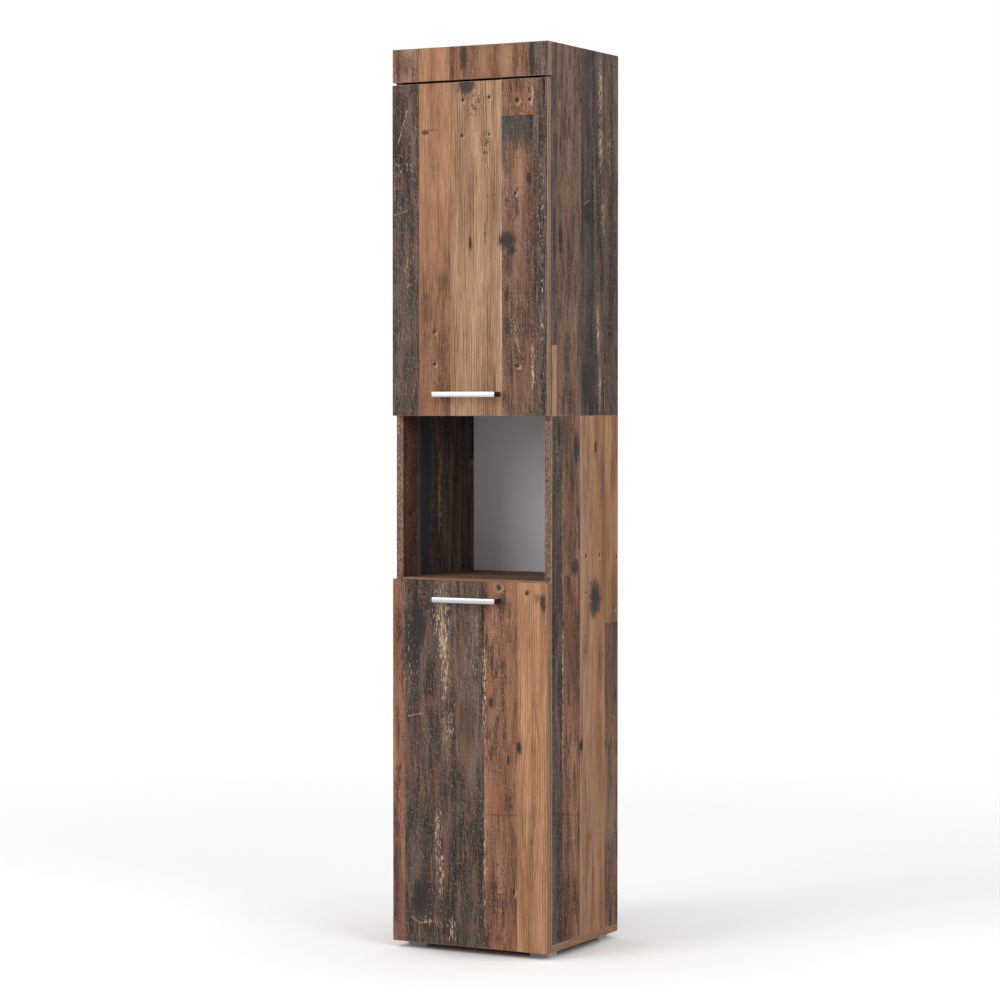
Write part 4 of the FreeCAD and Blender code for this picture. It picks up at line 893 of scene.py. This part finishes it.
def welded_copy(node_name, piece_name):
    """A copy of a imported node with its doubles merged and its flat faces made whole."""
    piece = bpy.data.objects.new(piece_name, nodes[node_name].data.copy())
    bpy.context.scene.collection.objects.link(piece)
    take(piece)
    switch_to("EDIT")
    bpy.ops.mesh.select_mode(type="VERT")
    bpy.ops.mesh.select_all(action="SELECT")
    bpy.ops.mesh.remove_doubles(threshold=WELD)
    bpy.ops.mesh.dissolve_limited(angle_limit=math.radians(1))
    bpy.ops.mesh.select_all(action="DESELECT")
    switch_to("OBJECT")
    return piece


def pick(piece, kind, wanted):
    """Selects the faces or edges that are wanted and stays in Edit Mode."""
    take(piece)
    switch_to("EDIT")
    bpy.ops.mesh.select_mode(type=kind)
    bpy.ops.mesh.select_all(action="DESELECT")
    switch_to("OBJECT")
    if kind == "FACE":
        for face in piece.data.polygons:
            face.select = wanted(face.center, face.normal)
    else:
        for edge in piece.data.edges:
            edge.select = wanted(*(piece.data.vertices[index].co for index in edge.vertices))
    switch_to("EDIT")


def bevel(piece, width, segments, wanted):
    """Bevels the edges that are wanted."""
    pick(piece, "EDGE", wanted)
    bpy.ops.mesh.bevel(offset=width, segments=segments)
    switch_to("OBJECT")


print("corners closer than", NEAR * 1000, "mm count as one place")

# %% [markdown]
# A board gets a finish for each of its six sides. Each flat outer face takes the finish of its side, each
# narrow face of a broken edge takes the rim's, and the walls of all holes stay raw board. A face or an
# edge belongs to a side when it lies on that side of the board's box. On the printed boards the rim is a
# lighter band, a painted highlight along every broken edge.

# %% Dress a board
SIDES = {(0, -1): "left", (0, 1): "right", (1, -1): "front", (1, 1): "rear", (2, -1): "bottom",
         (2, 1): "top"}


def box_of(corners):
    """The lowest and the highest corner of the box around some places."""
    return [[end(corner[axis] for corner in corners) for axis in range(3)] for end in (min, max)]


def outer_sides(place, box, reach):
    """The sides of the box that a place lies on, within a reach."""
    return {(axis, sign) for axis in range(3) for sign, corner in zip((-1, 1), box)
            if abs(place[axis] - corner[axis]) < reach}


def finish_board(node_name, body, width, rim, most, slot="wood_decor", **others):
    """Dresses one board with one finish on most sides, and others on the sides that are named."""
    piece = welded_copy(node_name, node_name + "_board")
    box = box_of([vertex.co for vertex in piece.data.vertices])
    bevel(piece, width, 2, lambda start, end: len(
        outer_sides(start, box, NEAR) & outer_sides(end, box, NEAR)) == 2)
    bpy.ops.object.shade_smooth_by_angle(angle=math.radians(20))
    faces = {**dict.fromkeys(SIDES.values(), most), **others}
    finishes = list(dict.fromkeys((rim, raw_board, *faces.values())))
    piece.data.materials.clear()
    for finish in finishes:
        piece.data.materials.append(finish)
    for face in piece.data.polygons:
        flat = [SIDES[axis, sign] for axis, sign in outer_sides(face.center, box, NEAR)
                if face.normal[axis] * sign > 0.999]
        finish = rim if len(outer_sides(face.center, box, width)) >= 2 else raw_board
        face.material_index = finishes.index(faces[flat[0]] if flat else finish)
    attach(piece, body)
    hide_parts(node_name)
    print(piece.name, "has", len(piece.data.polygons), "faces")


# %% [markdown]
# The fronts show the printed film on both faces and a pale band on all four edges; the rounded corners
# get the lighter rim band, a painted highlight. The doors swing, so each rides on its own leaf.

# %% Dress the fronts
DOOR_BEVEL = 0.0008
for node_name, body, front in (("fascia", "carcass", fascia_print),
                               ("upper_door", "upper_door_leaf", upper_door_print),
                               ("lower_door", "lower_door_leaf", lower_door_print)):
    finish_board(node_name, body, DOOR_BEVEL, highlight_rim_band, level_band, front=front,
                 rear=inner_front_print, left=honey_band, right=honey_band)

# %% [markdown]
# A side shows one print outside and another inside. Its front edge has the speckled band, and only the
# upper side's top edge is banded, because the other edges stand on a board or on the floor board.

# %% Dress the sides
BOARD_BEVEL = 0.0004
for level, outer, top in (("upper", upper_side_print, level_band), ("lower", lower_side_print, raw_board)):
    for hand, inward in (("left", "right"), ("right", "left")):
        prints = {hand: outer, inward: inner_side_print}
        finish_board("%s_side_%s" % (level, hand), "carcass", BOARD_BEVEL, highlight_rim_band, raw_board,
                     front=speckled_band, top=top, **prints)

# %% [markdown]
# Level boards lie between the sides, so their ends are hidden and stay raw. The base board runs under
# the sides, and its ends show.

# %% Dress the level boards
for node_name in ("base_panel", "niche_floor", "upper_floor", "top_panel", "lower_shelf",
                  "upper_shelf_1", "upper_shelf_2"):
    ends = level_band if node_name == "base_panel" else raw_board
    finish_board(node_name, "carcass", BOARD_BEVEL, highlight_rim_band, raw_board, front=level_band, left=ends,
                 right=ends, bottom=shelf_print, top=shelf_print)

# %% [markdown]
# The back is thin hardboard, painted white on the side that shows in the niche and left brown behind.

# %% Dress the back panels
BACK_BEVEL = 0.0002
for node_name in ("upper_back_panel", "lower_back_panel"):
    finish_board(node_name, "carcass", BACK_BEVEL, brown_fibre, brown_fibre, slot="white_hardboard",
                 front=white_paint)

# %% [markdown]
# ## Tools for new pieces
# New pieces are shaped with the commands of Edit Mode: a primitive at its size and place, then inset,
# extrude, bevel and cut. Each piece keeps its object at the origin and its place in its mesh.

# %% Lay out the modelling tools
ROUND_SIDES = 40


def settle(name):
    """Names the new primitive and moves its place, turn and size into its mesh."""
    bpy.ops.object.transform_apply(location=True, rotation=True, scale=True)
    piece = bpy.context.object
    piece.name = name
    return piece


def block(name, low, high):
    """A box between two corners."""
    bpy.ops.object.select_all(action="DESELECT")
    bpy.ops.mesh.primitive_cube_add(size=1, location=middle_of(low, high), scale=size_of(low, high))
    return settle(name)


def disc(name, centre, radius, thickness):
    """A round plate that lies flat."""
    bpy.ops.object.select_all(action="DESELECT")
    bpy.ops.mesh.primitive_cylinder_add(vertices=ROUND_SIDES, radius=radius, depth=thickness,
                                        location=centre)
    return settle(name)


def soften(piece, width, segments):
    """Rounds every sharp edge."""
    take(piece)
    switch_to("EDIT")
    bpy.ops.mesh.select_mode(type="EDGE")
    bpy.ops.mesh.select_all(action="DESELECT")
    bpy.ops.mesh.edges_select_sharp(sharpness=math.radians(40))
    bpy.ops.mesh.bevel(offset=width, segments=segments)
    switch_to("OBJECT")


def cut(piece, tool):
    """Takes the tool's shape out of the piece and throws the tool away."""
    take(piece)
    knife = piece.modifiers.new("cut", "BOOLEAN")
    knife.operation = "DIFFERENCE"
    knife.object = tool
    bpy.ops.object.modifier_apply(modifier=knife.name)
    bpy.data.objects.remove(tool)


def twin_of(piece, name, place, turn=(0, 0, 0)):
    """A copy with its own mesh, turned about the origin and then moved."""
    twin = bpy.data.objects.new(name, piece.data.copy())
    bpy.context.scene.collection.objects.link(twin)
    twin.location = place
    twin.rotation_euler = turn
    take(twin)
    return settle(name)


def join(pieces, name):
    """Joins pieces into the first one."""
    take(pieces[0])
    for piece in pieces:
        piece.select_set(True)
    bpy.ops.object.join()
    pieces[0].name = name
    return pieces[0]


def hand_over(piece, finish, body, node_name):
    """Smooths and dresses a finished piece and lets it stand for its node."""
    take(piece)
    bpy.ops.object.shade_smooth_by_angle(angle=math.radians(32))
    piece.data.materials.clear()
    piece.data.materials.append(finish)
    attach(piece, body)
    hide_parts(node_name)
    print(piece.name, "has", len(piece.data.polygons), "faces")


print("round pieces have", ROUND_SIDES, "sides")

# %% [markdown]
# ## Handles
# Each door has a flat bar handle, a strip of satin metal with a short leg at each end. The bar starts
# as a block. Two straight cuts mark off the legs on its back, and those two faces are pulled out to the
# door. Then every edge is rounded a little, so that it catches the light. Its end faces get a dark metal,
# which is painted shade and a painted reflection of the dark door beside them.

# %% Model the handles
HANDLE_BAR = 0.006
HANDLE_LEG = 0.010
HANDLE_ROUNDING = 0.0007
for node_name, body in (("upper_handle", "upper_door_leaf"), ("lower_handle", "lower_door_leaf")):
    low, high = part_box(node_name)
    bar_back = low[1] + HANDLE_BAR
    leg_start = high[0] - HANDLE_LEG
    handle = block(node_name + "_bar", low, (high[0], bar_back, high[2]))
    switch_to("EDIT")
    for cut_place in (-leg_start, leg_start):
        bpy.ops.mesh.select_all(action="SELECT")
        bpy.ops.mesh.bisect(plane_co=(cut_place, 0, 0), plane_no=(1, 0, 0))
    switch_to("OBJECT")
    pick(handle, "FACE", lambda centre, normal: normal.y > 0.9 and abs(centre.x) > leg_start)
    bpy.ops.mesh.extrude_region_move(TRANSFORM_OT_translate={"value": (0, high[1] - bar_back, 0)})
    switch_to("OBJECT")
    soften(handle, HANDLE_ROUNDING, 3)
    hand_over(handle, satin, body, node_name)
    # faces that look along the bar take the dark satin, painted shade and a painted reflection of the door
    handle.data.materials.append(painted_shade_satin_end)
    for face in handle.data.polygons:
        face.material_index = int(abs(face.normal.x) > 0.9)

# %% [markdown]
# ## Feet
# The cabinet stands on four grey plastic glides. One is a low block with rounded corners and a bevelled
# sole, and a round well from below for its screw. The other three are copies.

# %% Model the feet
FOOT_CORNER = 0.004
FOOT_CHAMFER = 0.002
WELL_RADIUS = 0.0043
WELL_DEPTH = 0.007
BORE_RADIUS = 0.0019
# how far a cutting tool reaches past the surface
PAST = 0.001
first_low, first_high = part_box("foot_front_left")
foot = block("foot_front_left_glide", first_low, first_high)
bevel(foot, FOOT_CORNER, 5, lambda start, end: abs(start.z - end.z) > NEAR)
bevel(foot, FOOT_CHAMFER, 3, lambda start, end: max(start.z, end.z) < NEAR)
foot_middle = middle_of(first_low, first_high)
cut(foot, disc("well", (*foot_middle[:2], WELL_DEPTH / 2 - PAST), WELL_RADIUS, WELL_DEPTH + 2 * PAST))
cut(foot, disc("bore", foot_middle, BORE_RADIUS, first_high[2] + 2 * PAST))
feet = {"foot_front_left": foot}
for node_name in ("foot_front_right", "foot_back_left", "foot_back_right"):
    shift = size_of(first_low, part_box(node_name)[0])
    feet[node_name] = twin_of(foot, node_name + "_glide", shift)
for node_name, piece in feet.items():
    hand_over(piece, grey_plastic, "carcass", node_name)

# %% [markdown]
# ## Round pieces
# Caps, dots and screws are turned shapes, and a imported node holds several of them. A turned shape is as
# wide as it is deep, so its axis is the way along which its size is the odd one out. Each solid is
# measured, and a finer one of the same size takes its place.

# %% Measure the turned solids
Turned = namedtuple("Turned", "corners middle size axis")


def turned_solids(node_name):
    """Each solid of a node, with its corners, the middle and the size of its box, and its axis."""
    take(welded_copy(node_name, "measured"))
    bpy.ops.mesh.separate(type="LOOSE")
    solids = []
    for part in list(bpy.context.selected_objects):
        corners = [vertex.co.copy() for vertex in part.data.vertices]
        low, high = box_of(corners)
        size = size_of(low, high)
        axis = max(range(3), key=lambda way: abs(size[way] - sorted(size)[1]))
        solids.append(Turned(corners, middle_of(low, high), size, axis))
        bpy.data.objects.remove(part)
    return solids


def domed_disc(name, radius, thickness, rounding):
    """A disc at the origin with a rounded upper rim."""
    piece = disc(name, (0, 0, 0), radius, thickness)
    bevel(piece, rounding, 4, lambda start, end: min(start.z, end.z) > thickness / 2 - NEAR)
    return piece


print("node door_bumpers holds", len(turned_solids("door_bumpers")), "solids")

# %% [markdown]
# Round caps hide the joint fittings on the inner faces, and small clear dots soften the closing of the
# doors. Both are thin discs with a rounded rim. The cap also gets a shallow dish in its middle. A cap
# looks to the middle of the cabinet and a dot looks to its door.

# %% Model the caps and the dots
CAP_ROUNDING = 0.0007
CAP_RIM = 0.0012
CAP_DISH = 0.0003
DOT_ROUNDING = 0.001


def copies_of(piece, solids, turn_at):
    """One copy of a piece for each solid, turned as its place asks."""
    copies = [twin_of(piece, piece.name + "_copy", solid.middle, turn_at(solid.middle))
              for solid in solids]
    bpy.data.objects.remove(piece)
    return copies


cap_solids = turned_solids("cam_caps")
cap = domed_disc("cap", max(cap_solids[0].size) / 2, min(cap_solids[0].size), CAP_ROUNDING)
pick(cap, "FACE", lambda centre, normal: normal.z > 0.99 and centre.z > 0)
bpy.ops.mesh.inset(thickness=CAP_RIM)
bpy.ops.mesh.inset(thickness=CAP_RIM, depth=-CAP_DISH)
switch_to("OBJECT")
caps = copies_of(cap, cap_solids, lambda place: (0, math.copysign(math.pi / 2, -place[0]), 0))
hand_over(join(caps, "cam_caps_domed"), brown_plastic, "carcass", "cam_caps")

dot_solids = turned_solids("door_bumpers")
dot = domed_disc("dot", max(dot_solids[0].size) / 2, min(dot_solids[0].size), DOT_ROUNDING)
dots = copies_of(dot, dot_solids, lambda place: (math.pi / 2, 0, 0))
hand_over(join(dots, "door_bumpers_domed"), soft_dot, "carcass", "door_bumpers")

# %% [markdown]
# ## Screws
# A screw is one turned shape. It starts as its head: the upper rim is rounded, a cross is sunk into it,
# and the lower face is drawn in and pulled down into a shank with a point.

# %% Model a screw
# all as shares of the head's radius, the head's height or the shank's radius
CROSS = (0.62, 0.14)
CROSS_FLOOR = 0.05
HEAD_ROUNDING = 0.45
POINT_LENGTH = 1.5
POINT_WIDTH = 0.25


def pan_screw(head, head_height, shank, length):
    """A pan-head screw at the origin, its shank pointing down."""
    screw = domed_disc("screw", head, head_height, head_height * HEAD_ROUNDING)
    for wide, deep in (CROSS, CROSS[::-1]):
        low = (-wide * head, -deep * head, head_height * CROSS_FLOOR)
        cut(screw, block("cross", low, (wide * head, deep * head, head_height)))
    pick(screw, "FACE", lambda centre, normal: normal.z < -0.9 and centre.z < -head_height / 2 + NEAR)
    bpy.ops.mesh.inset(thickness=head - shank)
    for fall in (length - shank * POINT_LENGTH, shank * POINT_LENGTH):
        bpy.ops.mesh.extrude_region_move(TRANSFORM_OT_translate={"value": (0, 0, -fall)})
    bpy.ops.transform.resize(value=(POINT_WIDTH, POINT_WIDTH, 1))
    switch_to("OBJECT")
    return screw


def measured_screw(solid):
    """The four sizes of a packed screw, the middle of its head, and the way that its shank points."""
    def on_axis(along):
        return [along if way == solid.axis else solid.middle[way] for way in range(3)]

    turned = [(corner[solid.axis], math.dist(corner, on_axis(corner[solid.axis])))
              for corner in solid.corners]
    head = max(radius for along, radius in turned)
    rim = [along for along, radius in turned if radius > head - NEAR]
    rim_middle = (min(rim) + max(rim)) / 2
    sign = 1 if rim_middle < solid.middle[solid.axis] else -1
    seat = max(rim) if sign > 0 else min(rim)
    shank = max(radius for along, radius in turned if (along - seat) * sign > NEAR)
    head_height = max(rim) - min(rim)
    sizes = (head, head_height, shank, solid.size[solid.axis] - head_height)
    points = [sign if way == solid.axis else 0 for way in range(3)]
    return tuple(round(size, 5) for size in sizes), on_axis(rim_middle), points


print("a foot screw, in metres:", measured_screw(turned_solids("foot_screws")[0])[0])

# %% [markdown]
# Screws of one size are modelled once. Every packed screw is measured, and a copy takes its place. All
# copies that belong to a node are joined in one piece, which rides on the body that it is screwed into.

# %% Set the screws
SCREWS = {"foot_screws": "carcass", "base_screws": "carcass", "fascia_screws": "carcass",
          "wall_angle_screws": "carcass", "hinge_plate_screws": "carcass", "hinge_arm_screws": "carcass",
          "lower_door_cup_screws": "lower_door_leaf", "upper_door_cup_screws": "upper_door_leaf",
          "lower_handle_screws": "lower_door_leaf", "upper_handle_screws": "upper_door_leaf"}
models = {}
for node_name, body in SCREWS.items():
    copies = []
    for solid in turned_solids(node_name):
        sizes, place, points = measured_screw(solid)
        if sizes not in models:
            models[sizes] = pan_screw(*sizes)
        turn = Vector(points).to_track_quat("-Z", "Y").to_euler()
        copies.append(twin_of(models[sizes], "screw_copy", place, turn))
    hand_over(join(copies, node_name + "_turned"), zinc, body, node_name)
for model in models.values():
    bpy.data.objects.remove(model)
print(len(models), "sizes of screw")

# %% [markdown]
# ## Hinges and angles
# Hinges and wall angles are pressed from sheet, so no edge on them is truly sharp. Each is a copy of
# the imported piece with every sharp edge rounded.

# %% Soften the pressed fittings
SHEET_ROUNDING = 0.00025
PRESSED = [("hinge_plates", "carcass", nickel), ("hinge_outer_links", "carcass", nickel),
           ("hinge_inner_links", "carcass", nickel), ("wall_angles", "carcass", zinc),
           ("fascia_angles", "carcass", zinc), ("shelf_pins", "carcass", zinc)]
for door in ("upper", "lower"):
    for level in ("high", "low"):
        PRESSED.append(("%s_door_hinge_%s_arm" % (door, level), "carcass", nickel))
        PRESSED.append(("%s_door_hinge_%s_cup" % (door, level), door + "_door_leaf", nickel))
for node_name, body, finish in PRESSED:
    piece = welded_copy(node_name, node_name + "_pressed")
    soften(piece, SHEET_ROUNDING, 2)
    hand_over(piece, finish, body, node_name)

# %% [markdown]
# ## Fittings that keep their shape
# Nails, dowels, cam fittings and hinge pins sit deep in the boards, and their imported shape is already
# true. Each only needs the finish of its own material.

# %% Finish the fittings
KEPT = {"back_nails": zinc, "dowels": beech, "cam_locks": cast, "cam_bolts": zinc,
        "hinge_arm_pins": zinc, "hinge_cup_pins": zinc}
for node_name, finish in KEPT.items():
    nodes[node_name].data.materials.clear()
    nodes[node_name].data.materials.append(finish)
print(len(KEPT), "kept nodes finished")

# %% [markdown]
# ## Keep the size and close
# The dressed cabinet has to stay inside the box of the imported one, so both are written down.

# %% Write the sizes and finish
low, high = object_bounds()
print("size:", [round(side, 4) for side in size_of(low, high)])
